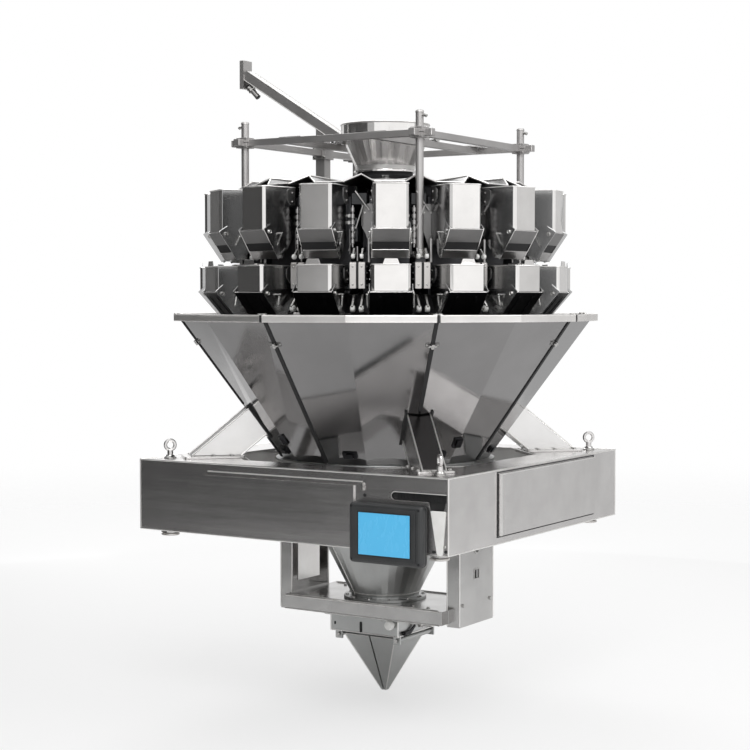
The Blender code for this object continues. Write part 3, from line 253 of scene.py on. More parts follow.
def split_finish(made, side_colour, outward_colour=None, edge=0.7):
    """Paints shade by facing: faces that look out from the machine's axis get another tone than the rest, as light
    would fall on one sheet; None keeps the sheet's own.
    """
    tree = made.node_tree
    sheet = tree.nodes["Principled BSDF"].inputs["Base Color"].links[0].from_socket
    facing = outward_share(tree, add_node(tree, "NewGeometry", out="True Normal"))
    front = add_node(tree, "MapRange", {"Value": facing, 1: edge - 0.1, 2: edge + 0.1, 3: 0.0, 4: 1.0})
    mixed = add_node(tree, "Mix", {0: front, 6: linear(side_colour) if side_colour else sheet,
                                   7: linear(outward_colour) if outward_colour else sheet}, 2, data_type="RGBA")
    return wire(made, mixed)


def blasted_casting(name, colour, pale, roughness, speck=0.004):
    """Cast and bead blasted metal: an even, slightly mottled dull surface with fine pits."""
    made, tree, _ = new_material(name, colour, 1.0, roughness)
    place = add_node(tree, "TexCoord", out="Object")
    pits = add_node(tree, "TexNoise", {"Vector": place, "Scale": 1 / speck, "Detail": 4, "Roughness": 0.7})
    mottle = add_node(tree, "TexNoise", {"Vector": place, "Scale": 1 / CASTING_MOTTLE, "Detail": 3})
    tint = add_node(tree, "Mix", {0: mottle, 6: linear(colour), 7: linear(pale)}, 2, data_type="RGBA")
    gloss = add_node(tree, "MapRange", {"Value": pits, 1: 0.3, 2: 0.7, 3: roughness - 0.08, 4: roughness + 0.08})
    return wire(made, tint, gloss, add_node(tree, "Bump", {"Height": pits, "Distance": PIT_DEPTH, "Strength": 0.6}))


def moulded_plastic(name, colour, roughness, grit=0.0025, depth=0.00015):
    """Moulded polymer: a fine spark eroded texture that breaks the highlight, and faint dust in its colour."""
    made, tree, shader = new_material(name, colour, 0.0, roughness)
    shader.inputs["IOR"].default_value = 1.53
    place = add_node(tree, "TexCoord", out="Object")
    cells = add_node(tree, "TexVoronoi", {"Vector": place, "Scale": 1 / grit}, "Distance")
    dust = add_node(tree, "TexNoise", {"Vector": place, "Scale": 1 / DUST_PATCH, "Detail": 5})
    paler = tuple(min(1, value * 1.5 + 0.004) for value in linear(colour)[:3]) + (1,)
    tint = add_node(tree, "Mix", {0: dust, 6: linear(colour), 7: paler}, 2, data_type="RGBA")
    gloss = add_node(tree, "MapRange", {"Value": dust, 1: 0.3, 2: 0.7, 3: roughness - 0.05, 4: roughness + 0.07})
    return wire(made, tint, gloss, add_node(tree, "Bump", {"Height": cells, "Distance": depth, "Strength": 0.5}))


def touch_film(name, colour):
    """Hard coated polyester film over a lit panel: even colour, a smooth clear surface, faint wipe marks."""
    made, tree, shader = new_material(name, colour, 0.0, 0.22)
    for socket, value in (("IOR", 1.5), ("Coat Weight", 0.4), ("Coat Roughness", 0.12),
                          ("Emission Color", linear(colour)), ("Emission Strength", 0.25)):
        shader.inputs[socket].default_value = value
    place = add_node(tree, "TexCoord", out="Object")
    wiped = add_node(tree, "Mapping", {"Vector": place, "Scale": (1, 1, 0.35)})
    wipes = add_node(tree, "TexNoise", {"Vector": wiped, "Scale": 1 / FILM_WIPE, "Detail": 3, "Distortion": 1.2})
    return wire(made, gloss=add_node(tree, "MapRange", {"Value": wipes, 1: 0.35, 2: 0.7, 3: 0.16, 4: 0.34}))


# Stretches of the belt marks along the grain.
LONG_GRAIN = (0.04, 0.04, 1.0)
SHORT_GRAIN = (0.2, 0.2, 1.0)
# Belt ground 304 stainless plate on the beams: long level marks that smear reflections sideways.
BEAM_STEEL = rolled_sheet("belt_ground_stainless_plate", "E2E0DF", "D8D6D5", 0.24, 0.00002, 0.0006, LONG_GRAIN)
# 304 sheet of the hoppers: mirror polished fronts that blaze white, sides in a painted grey shade, shallow dimples of
#                           pressed sheet.
HOPPER_STEEL = split_finish(rolled_sheet("polished_stainless_hopper_sheet", "F8F6F4", "EEECEA", 0.19, 0.00006, 0.0006,
                                         SHORT_GRAIN, 0.1), "B4B4B4")
# 2B cold rolled sheet on the chute: grey, smooth, with wide soft reflections that wander over each panel.
CHUTE_STEEL = rolled_sheet("cold_rolled_stainless_chute_sheet", "8F8E8E", "8A8989", 0.1, 0.00001, 0.0009,
                           wave_size=0.24)
# Polished sheet of the hanger under the frame: light and smooth, dulled by washing.
HANGER_STEEL = rolled_sheet("washed_stainless_hanger_sheet", "C4C3C2", "B6B5B4", 0.22, 0.00005, 0.0014, wave_size=0.08)
# Legs: plate with polished sides, almost white against the chute, and upper faces painted a dark shade, as they look
# out from the axis.
LEG_STEEL = split_finish(rolled_sheet("polished_stainless_leg_plate", "EFEEED", "E7E6E5", 0.24, 0.00001, 0.0004,
                                      LONG_GRAIN), None, "5C5A5A", 0.45)
# Rolled rim of the chute: scoured to a pale satin by cleaning, so that it stays light all the way round.
SATIN_RIM = rolled_sheet("scoured_rolled_rim", "E6E4E2", "DCDAD8", 0.5, 0.00001, 0.0002)
# Pickled sheet of the feeder pans and the cone: grey and satin, so that they don't mirror the room above.
PAN_STEEL = rolled_sheet("pickled_stainless_pan_sheet", "757474", "686767", 0.38, 0.00002, 0.001, wave_size=0.08)
# Timing hopper and lower funnel: glass bead blasted sheet, an even mid grey.
TIMING_STEEL = rolled_sheet("bead_blasted_timing_sheet", "C0C1C0", "B6B7B6", 0.34, 0.00001, 0.0005)
# Drawn stainless bar and tube: satin, with faint scuffs from clamping.
BAR_STEEL = rolled_sheet("drawn_stainless_bar", "BEBCBB", "B2B0AF", 0.46, 0.00001, 0.0002, wave_size=0.05)
# Laser cut door plates: glass bead blasted, so they stay dull; their darker grey is partly the blasted finish and
# partly painted shade, for the dark that the down-facing door bands reflect, and the other plates in this material
# share it.
DOOR_STEEL = blasted_casting("bead_blasted_stainless_door", "787777", "8A8988", 0.42)
# The weigh hoppers' door sheets: blasted, and painted almost black beside the polished fronts as shade, for the dark
# that the down-facing slopes reflect.
DARK_DOOR_STEEL = blasted_casting("dark_blasted_door_sheet", "2C2C2E", "3C3C3E", 0.36)
# Brushed sheet of door lips, guides and gussets: paler than the blasted sheet, duller than the hoppers.
LIP_STEEL = rolled_sheet("brushed_stainless_strip", "C8C6C5", "B8B6B5", 0.3, 0.00003, 0.0003, wave_size=0.05)
# Folded and rolled edges, polished by handling: they catch the light as thin bright lines.
RIM_STEEL = rolled_sheet("polished_folded_edge", "EFEEEC", "E2E0DE", 0.34, 0.00001, 0.0002, wave_size=0.04)
# Drive unit castings: blasted aluminium that has darkened.
DRIVE_METAL = blasted_casting("blasted_aluminium_drive_casting", "4A4A4C", "5A5A5C", 0.5)
# Anodised aluminium of the load cell covers, the foot pads and the air cylinder: pale and satin.
COVER_ALLOY = blasted_casting("anodised_aluminium_cover", "DEDBD8", "CBC8C5", 0.34)
# Turned stainless fasteners: small and bright.
SCREW_STEEL = blasted_casting("turned_stainless_fastener", "C9C8C6", "B5B4B2", 0.24, 0.002)
# Black NBR rubber: matt, slightly dusty, in seams, gaskets and seals.
RUBBER = moulded_plastic("black_nitrile_rubber", "161617", 0.62, 0.003, 0.0002)
# Moulded ABS of the operator housing: satin, dark grey.
HOUSING_ABS = moulded_plastic("moulded_abs_housing", "2C2D2E", 0.42)
# Glass filled nylon of the solenoids, connectors and the sensor's lens: black with a slight sheen.
SOLENOID_PLASTIC = moulded_plastic("glass_filled_nylon", "1D1E20", 0.45)
# Nylon handles and end caps: dark grey and satin.
KNOB_PLASTIC = moulded_plastic("moulded_nylon_knob", "39393B", 0.4)
# Acetal of rollers, bushes, the knob and the cable guide: white, waxy. On the cable guide plate the white is a painted
# highlight, for the light that the tilted plate catches.
ACETAL = moulded_plastic("turned_white_acetal", "DAD9D4", 0.35)
# Hard coated polyester film of the screen: an even sky blue with a soft sheen and faint wipe marks.
SCREEN_FILM = touch_film("polyester_touch_film", "58B3E0")


# Mesh building, in the machine's own frame: the axis is at zero and the feet stand at zero height


def at(x, y, z=0.0):
    return Matrix.Translation((x, y, z))


def turn(angle, axis="Z"):
    return Matrix.Rotation(angle, 4, axis)


# Lays an outline of (x, height) upright, so that it is thick toward the machine's front.
UPRIGHT = turn(RIGHT_ANGLE, "X")
# The same, turned to the machine's right.
UPRIGHT_ACROSS = turn(RIGHT_ANGLE) @ UPRIGHT
# These turn a screw's axis from upright to outward, downward or to the left.
OUTWARD = turn(RIGHT_ANGLE, "Y")
DOWNWARD = turn(HALF_TURN, "X")
LEFTWARD = turn(-RIGHT_ANGLE, "Y")
AS_IT_IS = Matrix.Identity(4)


def about(middle, half):
    return (middle - half, middle + half)


def mirrored(side, near, far):
    """The span from near to far on one side of zero, low end first."""
    return sorted((side * near, side * far))


def rectangle(x, y):
    return [(x[0], y[0]), (x[1], y[0]), (x[1], y[1]), (x[0], y[1])]


def arc(radius, start, end, steps, middle=(0, 0)):
    points = []
    for i in range(steps + 1):
        angle = start + (end - start) * i / steps
        points.append((middle[0] + radius * math.cos(angle), middle[1] + radius * math.sin(angle)))
    return points


def circle(radius, segments, middle=(0, 0), start=0.0):
    return arc(radius, start, start + FULL_TURN, segments, middle)[:-1]


def rounded(x, y, radius, steps=4):
    """A rectangle with round corners."""
    points = []
    corners = ((x[1], y[1], 0), (x[0], y[1], 1), (x[0], y[0], 2), (x[1], y[0], 3))
    for u, v, quarter in corners:
        middle = (u - math.copysign(radius, u - sum(x) / 2), v - math.copysign(radius, v - sum(y) / 2))
        points += arc(radius, quarter * RIGHT_ANGLE, (quarter + 1) * RIGHT_ANGLE, steps, middle)
    return points


def polar(radius, angle, height):
    return Vector((radius * math.cos(angle), radius * math.sin(angle), height))


def skin(bm, loops, closed=True):
    """Joins loops of vertices one to the next; the last joins the first where the row is closed."""
    pairs = list(zip(loops, loops[1:]))
    if closed:
        pairs.append((loops[-1], loops[0]))
    else:
        bm.faces.new(loops[0])
        bm.faces.new(loops[-1])
    for here, there in pairs:
        for i in range(len(here)):
            j = (i + 1) % len(here)
            corners = [here[i], here[j], there[j], there[i]]
            unique = [v for k, v in enumerate(corners) if v not in corners[:k]]
            if len(unique) > 2:
                bm.faces.new(unique)


def prism(bm, outline, low, high, place=AS_IT_IS):
    """A closed prism on an outline in the local XY plane, from low to high along local Z."""
    skin(bm, [[bm.verts.new(place @ Vector((x, y, z))) for x, y in outline] for z in (low, high)], closed=False)


def block(bm, x, y, z, place=AS_IT_IS):
    prism(bm, rectangle(x, y), *z, place)


def ring(bm, outer, inner, low, high, place):
    """A closed frame between two outlines with the same number of points."""
    rows = ((outer, low), (outer, high), (inner, high), (inner, low))
    skin(bm, [[bm.verts.new(place @ Vector((x, y, height))) for x, y in outline] for outline, height in rows])


def lathe(bm, profile, segments=24, place=AS_IT_IS):
    """A closed turned solid from a closed outline of (radius, height); a radius of zero is on its axis."""
    rings = []
    for radius, height in profile:
        if radius == 0:
            rings.append([bm.verts.new(place @ Vector((0, 0, height)))] * segments)
        else:
            rings.append([bm.verts.new(place @ Vector((x, y, height))) for x, y in circle(radius, segments)])
    skin(bm, rings)


def tube(bm, inner, outer, low, high, segments=24, place=AS_IT_IS):
    """A turned ring, or a disc where the inner radius is zero."""
    lathe(bm, [(inner, low), (outer, low), (outer, high), (inner, high)], segments, place)


def along(start, end):
    """Puts local Z along the line from start to end, with its origin at start."""
    start = Vector(start)
    line = Vector(end) - start
    return Matrix.Translation(start) @ line.to_track_quat("Z", "Y").to_matrix().to_4x4()


def rod(bm, start, end, radius, segments=16, ease=0.3):
    """A round bar with chamfered ends; ease is the chamfer as a share of the radius."""
    length = (Vector(end) - Vector(start)).length
    cham = radius * ease
    profile = [(0, 0), (radius - cham, 0), (radius, cham), (radius, length - cham), (radius - cham, length),
               (0, length)]
    lathe(bm, profile, segments, along(start, end))


def sweep(bm, path, radius, sides=8, closed=False):
    """A round wire along a path of points."""
    points = [Vector(point) for point in path]
    last = len(points) - 1
    rings = []
    side = None
    for i, point in enumerate(points):
        before = points[i - 1] if i or closed else point
        after = points[(i + 1) % len(points)] if i < last or closed else point
        line = (after - before).normalized()
        if side is None:
            side = line.orthogonal().normalized()
        side = (side - line * side.dot(line)).normalized()
        other = line.cross(side)
        rings.append([bm.verts.new(point + radius * (side * c + other * s)) for c, s in circle(1, sides)])
    skin(bm, rings, closed)


def coil(bm, start, end, radius, wire, turns, steps=7):
    """A coil spring between two points, with a straight hook at each end."""
    place = along(start, end)
    length = (Vector(end) - Vector(start)).length
    path = [Vector((0, 0, 0)), Vector((0, 0, length * 0.1))]
    for i in range(turns * steps + 1):
        path.append(polar(radius, FULL_TURN * i / steps, length * (0.14 + 0.72 * i / (turns * steps))))
    path += [Vector((0, 0, length * 0.9)), Vector((0, 0, length))]
    sweep(bm, [place @ point for point in path], wire, 4)


def hex_bolt(bm, place, size, washer=True):
    """A hexagon head with its chamfered crown on a washer; size is the thread in metres."""
    flat = size * 0.92
    low = size * 0.18 if washer else 0
    top = low + size * 0.65
    if washer:
        tube(bm, 0, size * 1.05, 0, low, 20, place)
    prism(bm, circle(flat, 6), low, top - size * 0.1, place)
    lathe(bm, [(0, top - size * 0.12), (flat * 0.88, top - size * 0.12), (flat * 0.78, top), (0, top)], 12, place)


def button_screw(bm, place, size):
    """A domed socket screw with its hexagonal recess."""
    dome = [(size * math.cos(a), size * (0.12 + 0.5 * math.sin(a))) for a in (0.5, 0.9, 1.15)]
    socket = size * 0.36
    lathe(bm, [(0, -0.0005), (size, -0.0005), (size, size * 0.12)] + dome
          + [(socket, size * 0.6), (socket * 0.9, size * 0.3), (0, size * 0.28)], 16, place)


def fasten(bm, head, size, points, facing=AS_IT_IS):
    """Sets a screw's head at each point; facing turns its axis from upright."""
    for point in points:
        head(bm, at(*point) @ facing, size)


def grid(xs, ys, *levels):
    return [(x, y, z) for x in xs for y in ys for z in levels]


def repeat(bm, count, start):
    """Repeats what the mesh holds evenly about the axis; the first copy is turned by start."""
    first = bm.verts[:] + bm.edges[:] + bm.faces[:]
    for i in range(1, count):
        made = bmesh.ops.duplicate(bm, geom=first)["geom"]
        verts = [item for item in made if isinstance(item, bmesh.types.BMVert)]
        bmesh.ops.rotate(bm, verts=verts, cent=(0, 0, 0), matrix=Matrix.Rotation(FULL_TURN * i / count, 3, "Z"))
    bmesh.ops.rotate(bm, verts=bm.verts, cent=(0, 0, 0), matrix=Matrix.Rotation(start, 3, "Z"))


def add_object(name, bm, finish):
    mesh = bpy.data.meshes.new(name)
    bm.to_mesh(mesh)
    bm.free()
    mesh.materials.append(finish)
    made = bpy.data.objects.new(name, mesh)
    bpy.context.scene.collection.objects.link(made)
    return made


def round_edges(made, width):
    """Rounds the sharp edges, so that they catch the light as real folded and machined ones do."""
    rounding = made.modifiers.new("edge", "BEVEL")
    rounding.width = width
    rounding.segments = 2
    rounding.limit_method = "ANGLE"
    rounding.angle_limit = SHARP_ANGLE
    return rounding


@contextmanager
def piece(name, finish, copies=1, start=0.0, ease=0.0, body="machine", slot="steel"):
    """Gives an empty mesh to fill, then repeats it about the axis and has the piece ride on its body.

    ease is the width that its sharp edges are rounded to.
    """
    bm = bmesh.new()
    yield bm
    if copies > 1 or start:
        repeat(bm, copies, start)
    bmesh.ops.recalc_face_normals(bm, faces=bm.faces[:])
    bm.transform(AXIS)
    made = add_object(name, bm, finish)
    made.data.shade_smooth()
    made.data.set_sharp_from_angle(angle=SHARP_ANGLE)
    if ease:
        round_edges(made, ease).harden_normals = True
    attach(made, body)


# Hoppers. Each piece is made for the head at the zero angle and then repeated round the machine


def slope_place(kink, tip):
    """Puts local Y down a sloped front from its kink, local X across it and local Z out of it."""
    start = Vector((kink[0], 0, kink[1]))
    down = (Vector((tip[0], 0, tip[1])) - start).normalized()
    out = Vector((-down.z, 0, down.x))
    return Matrix.Translation(start) @ Matrix((down.cross(out), down, out)).transposed().to_4x4()


def hopper_rims():
    """The folded wire edge round each bucket's mouth."""
    with piece("hopper_rim_wires", RIM_STEEL, *HEAD_RING) as wires:
        for inner, outer, half, top in (FEED_MOUTH, WEIGH_MOUTH):
            side = outer - MOUTH_CORNER
            front = half - MOUTH_CORNER
            mouth = [(inner, -half), (side, -half), (outer, -front), (outer, front), (side, half), (inner, half)]
            sweep(wires, [(x, y, top) for x, y in mouth], RIM_WIRE, closed=True)


def hopper_side_plates():
    """Plates on the buckets' sides, with the screws that hang them on the drive units."""
    corners = ((0.001, 0.052), (0.02, 0.052), (0.034, 0.034), (0.034, 0.01), (0.024, 0.003), (0.001, 0.003))
    with (piece("hopper_side_screws", SCREW_STEEL, *HEAD_RING) as screws,
          piece("hopper_side_plates", DOOR_STEEL, *HEAD_RING, ease=CUT_EDGE) as plates):
        for inner, _, half, top in (FEED_MOUTH, WEIGH_MOUTH):
            outline = [(inner + out, top - down) for out, down in corners]
            for side in SIDES:
                prism(plates, outline, *mirrored(side, half, half + 0.0022), UPRIGHT)
                for height in (0.016, 0.042):
                    place = at(inner + 0.012, 0, top - height) @ turn(-side * RIGHT_ANGLE, "X")
                    hex_bolt(screws, place @ at(0, 0, half + 0.002), 0.004, washer=False)


def door_skins():
    """The doors' sheets: a dull upper band, a black strip of painted shade in the recess and a paler lip on the feed
    ones, and below a sheet painted near black as shade.
    """
    place = slope_place(FEED_KINK, FEED_TIP)
    half = FEED_DOOR_HALF - DOOR_MARGIN
    sheet = (DOOR_LIFT, 0.0041)
    # The band's grey is partly painted shade, for the dark that the sloped band reflects.
    with piece("feed_door_bands", DOOR_STEEL, *HEAD_RING, ease=SHEET_EDGE) as band:
        block(band, (-half, half), (0.0022, 0.045), sheet, place)
    # A black strip laid in the recess between band and lip: painted shade of the recess.
    with piece("feed_door_recess_shade", RUBBER, *HEAD_RING) as recess:
        prism(recess, rounded((-half - 0.001, half + 0.001), (0.035, 0.0724), 0.004), -0.0006, 0.0012, place)
    with piece("feed_door_lips", LIP_STEEL, *HEAD_RING, ease=SHEET_EDGE) as lip:
        block(lip, (-half, half), (0.0722, 0.0972), sheet, place)
        sweep(lip, [place @ Vector((x, 0.0978, DOOR_LIFT)) for x in (-half, half)], 0.0022)
    place = slope_place(WEIGH_KINK, WEIGH_TIP)
    half = WEIGH_DOOR_HALF - DOOR_MARGIN
    # The near black of these sheets is painted shade, for the dark that the slopes reflect.
    with piece("weigh_door_sheets", DARK_DOOR_STEEL, *HEAD_RING, ease=SHEET_EDGE) as door:
        block(door, (-half, half), (0.0026, 0.112), (DOOR_LIFT, 0.004), place)
        for x in (-0.03, 0.03):
            prism(door, rounded(about(x, 0.0045), (0.018, 0.096), 0.0044), 0.0036, 0.0052, place)


def door_pivots():
    """Pivot pins, bushes and the closing springs at both sides of every door."""
    with (piece("door_pivot_bushes", ACETAL, *HEAD_RING) as bushes,
          piece("door_closing_springs", SCREW_STEEL, *HEAD_RING) as springs,
          piece("door_pivot_pins", SCREW_STEEL, *HEAD_RING) as pins):
        for kink, tip, bucket, door in ((FEED_KINK, FEED_TIP, FEED_MOUTH[2], FEED_DOOR_HALF),
                                        (WEIGH_KINK, WEIGH_TIP, WEIGH_MOUTH[2], WEIGH_DOOR_HALF)):
            pivot = (kink[0] - 0.017, kink[1] - 0.006)
            hook = (kink[0] - 0.062, kink[1] - 0.01)
            end = (kink[0] + (tip[0] - kink[0]) * 0.55 - 0.014, kink[1] + (tip[1] - kink[1]) * 0.55)
            for side in SIDES:
                for bm, (x, z), start, stop, *size in (
                        (pins, pivot, bucket - 0.001, door + 0.0035, 0.004, 12),
                        (pins, pivot, door + 0.0002, door + 0.0024, 0.0066, 14),
                        (bushes, pivot, bucket + 0.0004, door - 0.0024, 0.0062, 14, 0.1),
                        (pins, hook, bucket - 0.001, door + 0.0075, 0.0026, 10)):
                    rod(bm, (x, side * start, z), (x, side * stop, z), *size)
                y = side * (door + 0.004)
                coil(springs, (hook[0], y, hook[1]), (end[0], y, end[1]), 0.0028, 0.0007, 11)


# Drive units: what shows in the gaps between the heads


def load_cell_covers():
    """Each load cell column wears two upright polished bars with a dark joint between them."""
    profile = [(-0.03, 0.766), (0.005, 0.762), (0.0062, 0.79), (0.0062, 0.836), (0.003, 0.8395), (-0.03, 0.8395)]
    outline = [(COLUMN_FRONT + out, z) for out, z in profile]
    with (piece("load_cell_screws", SCREW_STEEL, *GAP_RING, slot="drive_metal") as screws,
          piece("load_cell_fins", RUBBER, *GAP_RING, slot="drive_metal") as joint,
          piece("load_cell_covers", COVER_ALLOY, *GAP_RING, ease=PLATE_EDGE, slot="drive_metal") as covers):
        for side in SIDES:
            prism(covers, outline, *about(side * 0.013, 0.0095), UPRIGHT)
            places = grid((COLUMN_FRONT + 0.006,), (side * 0.013,), 0.774, 0.826)
            fasten(screws, button_screw, 0.003, places, OUTWARD)
        block(joint, (COLUMN_FRONT - 0.02, COLUMN_FRONT + 0.0028), (-0.0036, 0.0036), (0.764, 0.838))
        for i in range(4):
            for side in SIDES:
                block(joint, (COLUMN_FRONT - 0.04, COLUMN_FRONT - 0.002), mirrored(side, 0.022, 0.029),
                      about(0.772 + i * 0.018, 0.0022))


def door_rollers():
    """Push arms with a pair of pale rollers that work the weigh hopper doors, one pair in each gap."""
    lower = [(0.4, 0.752), (0.47, 0.746), (0.5, 0.712), (0.497, 0.696), (0.485, 0.696), (0.478, 0.712),
             (0.455, 0.734), (0.4, 0.738)]
    upper = [(0.43, 0.884), (0.468, 0.88), (0.489, 0.858), (0.483, 0.848), (0.462, 0.866), (0.43, 0.87)]
    with (piece("door_push_rollers", ACETAL, *GAP_RING, slot="drive_metal") as rollers,
          piece("door_push_arms", SCREW_STEEL, *GAP_RING, ease=CUT_EDGE, slot="drive_metal") as arms):
        for y in (-0.0128, 0.0128):
            prism(arms, lower, *about(y, 0.003), UPRIGHT)
            rod(rollers, (0.4905, y - 0.0062, 0.7035), (0.4905, y + 0.0062, 0.7035), 0.0098, 20, 0.18)
            rod(arms, (0.4905, y - 0.0085, 0.7035), (0.4905, y + 0.0085, 0.7035), 0.0032, 10)
            prism(arms, upper, *about(y, 0.0026), UPRIGHT)
            rod(rollers, (0.4835, y - 0.005, 0.856), (0.4835, y + 0.005, 0.856), 0.0072, 18, 0.18)


def drive_gap_parts():
    """Side plates, tie rods, stacked spacers, braces, solenoids and cable glands of the drive units."""
    with piece("drive_side_plates", DOOR_STEEL, *GAP_RING, ease=CUT_EDGE, slot="drive_metal") as plates:
        prism(plates, [(0.006, 1.01), (0.0475, 1.01), (0.0475, 0.895), (0.03, 0.88), (0.016, 0.922),
                       (0.006, 0.94)], 0.4375, 0.4402, UPRIGHT_ACROSS)
        for x, y, z in (((0.4375, 0.448), (0.0055, 0.008), (0.945, 1.01)),
                        ((0.43, 0.456), (-0.029, -0.0265), (0.862, 0.935)),
                        ((0.43, 0.444), (-0.029, 0.006), (0.862, 0.8645))):
            block(plates, x, y, z)
    with piece("drive_tie_rods", LIP_STEEL, *GAP_RING, ease=CUT_EDGE, slot="drive_metal") as rods:
        for start, end, *size in (((0.464, 0.03, 0.838), (0.464, 0.03, 0.908), 0.0044, 14),
                                  ((0.457, -0.005, 0.842), (0.457, -0.005, 0.885), 0.0028, 10),
                                  ((0.447, -0.033, 0.872), (0.46, 0.012, 1.004), 0.0024, 10),
                                  ((0.447, 0.029, 0.99), (0.456, -0.012, 1.046), 0.0024, 10),
                                  ((0.456, -0.0188, 0.882), (0.456, -0.0188, 1.004), 0.003, 12)):
            rod(rods, start, end, *size)
        for i in range(6):
            low = 0.892 + i * 0.0185
            rod(rods, (0.456, -0.0188, low), (0.456, -0.0188, low + 0.0135), 0.0062, 16, 0.25)
    with piece("drive_screws", SCREW_STEEL, *GAP_RING, slot="drive_metal") as screws:
        for y, z, size in ((-0.033, 0.955, 0.005), (-0.033, 0.975, 0.005), (0.014, 0.984, 0.004),
                           (0.038, 0.984, 0.004), (0.038, 0.918, 0.004), (-0.015, 0.868, 0.0035)):
            hex_bolt(screws, at(0.4392, y, z) @ OUTWARD, size)
    with piece("drive_solenoids", SOLENOID_PLASTIC, *GAP_RING, ease=CUT_EDGE, slot="drive_metal") as coils:
        block(coils, (0.4, 0.45), (-0.027, -0.006), (0.9, 0.968))
        block(coils, (0.4, 0.446), (-0.024, 0.02), (1.008, 1.04))
        for z in (0.912, 0.934, 0.956):
            rod(coils, (0.448, -0.0165, z), (0.458, -0.0165, z), 0.0068, 12)
        for z in (0.752, 0.764):
            rod(coils, (0.43, -0.03, z), (0.462, -0.03, z), 0.0046, 12)


def drum_bands():
    """Turned bands on the drum and the bolt circle of its cover, under the heads."""
    with piece("drum_bands", DRIVE_METAL, ease=SHEET_EDGE, slot="drive_metal") as bands:
        for low, high, proud in ((0.6915, 0.704, 0.004), (0.712, 0.716, 0.002)):
            tube(bands, DRUM_RADIUS - 0.006, DRUM_RADIUS + proud, low, high, 72)
    with piece("drum_cover_bolts", SCREW_STEEL, copies=24, start=0.1) as bolts:
        hex_bolt(bolts, at(0.25, 0, 0.6912) @ DOWNWARD, 0.008)


# Feeders and cone


def pan_edges():
    """Folded beads along the ridges between the troughs and along every trough's lip."""
    ridge = HEAD_STEP / 2
    with piece("pan_edge_beads", RIM_STEEL, *HEAD_RING) as beads:
        for side in SIDES:
            sweep(beads, [polar(PAN_NOTCH, side * ridge, PAN_RIDGE_Z),
                          polar(PAN_OUTER, side * PAN_FLOOR_ANGLE, PAN_FLOOR)], 0.0024)
        sweep(beads, [polar(PAN_INNER, ridge, PAN_FLOOR + 0.012), polar(PAN_NOTCH, ridge, PAN_RIDGE_Z)], 0.0028)
        sweep(beads, [polar(PAN_OUTER, side * PAN_FLOOR_ANGLE, PAN_FLOOR) for side in SIDES], 0.0024)


def pan_mounts():
    """Leaf springs and clamps that carry each pan on its vibrator, seen over the hoppers."""
    lean = 0.012
    thick = 0.0022
    with piece("pan_leaf_springs", RIM_STEEL, *HEAD_RING, ease=TURNED_EDGE, slot="drive_metal") as springs:
        for radius in (0.225, 0.315):
            prism(springs, [(radius, 1.04), (radius + thick, 1.04), (radius + lean + thick, 1.0685),
                            (radius + lean, 1.0685)], -0.034, 0.034, UPRIGHT)
            block(springs, (radius - 0.006, radius + 0.01), (-0.036, 0.036), (1.0385, 1.044))


def cone_dressing():
    """The cone's raised ribs, the domed nut on its crown and the bead round its edge."""
    rise = CONE_PEAK - 0.002
    profile = [(0.03, 0.0001), (0.06, -0.0005), (0.15, -0.0078), (0.157, -0.0098), (0.15, -0.0112),
               (0.06, -0.005), (0.03, -0.0035)]
    with piece("cone_ribs", RIM_STEEL, *HEAD_RING, ease=PLATE_EDGE) as ribs:
        prism(ribs, [(radius, rise + lift) for radius, lift in profile], -0.0022, 0.0022, UPRIGHT)
    with piece("cone_nut", SCREW_STEEL, ease=CUT_EDGE) as nut:
        tube(nut, 0, 0.022, CONE_PEAK - 0.003, CONE_PEAK + 0.002, 32)
        prism(nut, circle(0.0125, 6), CONE_PEAK + 0.001, CONE_PEAK + 0.012)
        dome = [(0.0105 * math.cos(a), CONE_PEAK + 0.011 + 0.009 * math.sin(a)) for a in (0, 0.4, 0.8, 1.2)]
        lathe(nut, [(0, CONE_PEAK + 0.01)] + dome + [(0, CONE_PEAK + 0.02)])
    with piece("cone_rim_bead", RIM_STEEL, ease=PANEL_EDGE) as bead:
        tube(bead, 0.162, 0.1665, 1.0962, 1.1008, 96)


# Chute and legs


def chute_radius(height):
    """Radius of the chute's corners at this height."""
    return CHUTE_BOTTOM + (CHUTE_TOP - CHUTE_BOTTOM) * (height - CHUTE_LOW) / (RIM_LOW - CHUTE_LOW)


def wall_strip(low, high, outside, inside):
    """The outline, in a vertical plane, of a strip on the chute's wall between two heights."""
    return [(chute_radius(low) + outside, low), (chute_radius(high) + outside, high),
            (chute_radius(high) - inside, high), (chute_radius(low) - inside, low)]


def wall_place(height, angle):
    """Local X across the chute's seam, local Y up its slope and local Z out of it."""
    slope = (CHUTE_TOP - CHUTE_BOTTOM) / (RIM_LOW - CHUTE_LOW)
    up = Vector((slope, 0, 1)).normalized()
    out = Vector((up.z, 0, -up.x))
    basis = Matrix((up.cross(out), up, out)).transposed().to_4x4()
    return turn(angle) @ at(chute_radius(height), 0, height) @ basis


def seam_seal(bm, *spans):
    """The black seal in one seam, over these spans of height, and its end over the rim."""
    for low, high in spans:
        prism(bm, wall_strip(low, high, 0.003, 0.009), -0.0062, 0.0062, UPRIGHT)
    low, high = RIM_LOW - 0.001, RIM_TOP + 0.0012
    lip = CHUTE_LIP + 0.0012
    prism(bm, [(CHUTE_TOP + 0.002, low), (lip, low), (lip, high), (CHUTE_TOP - 0.002, high)], -0.0028, 0.0028, UPRIGHT)


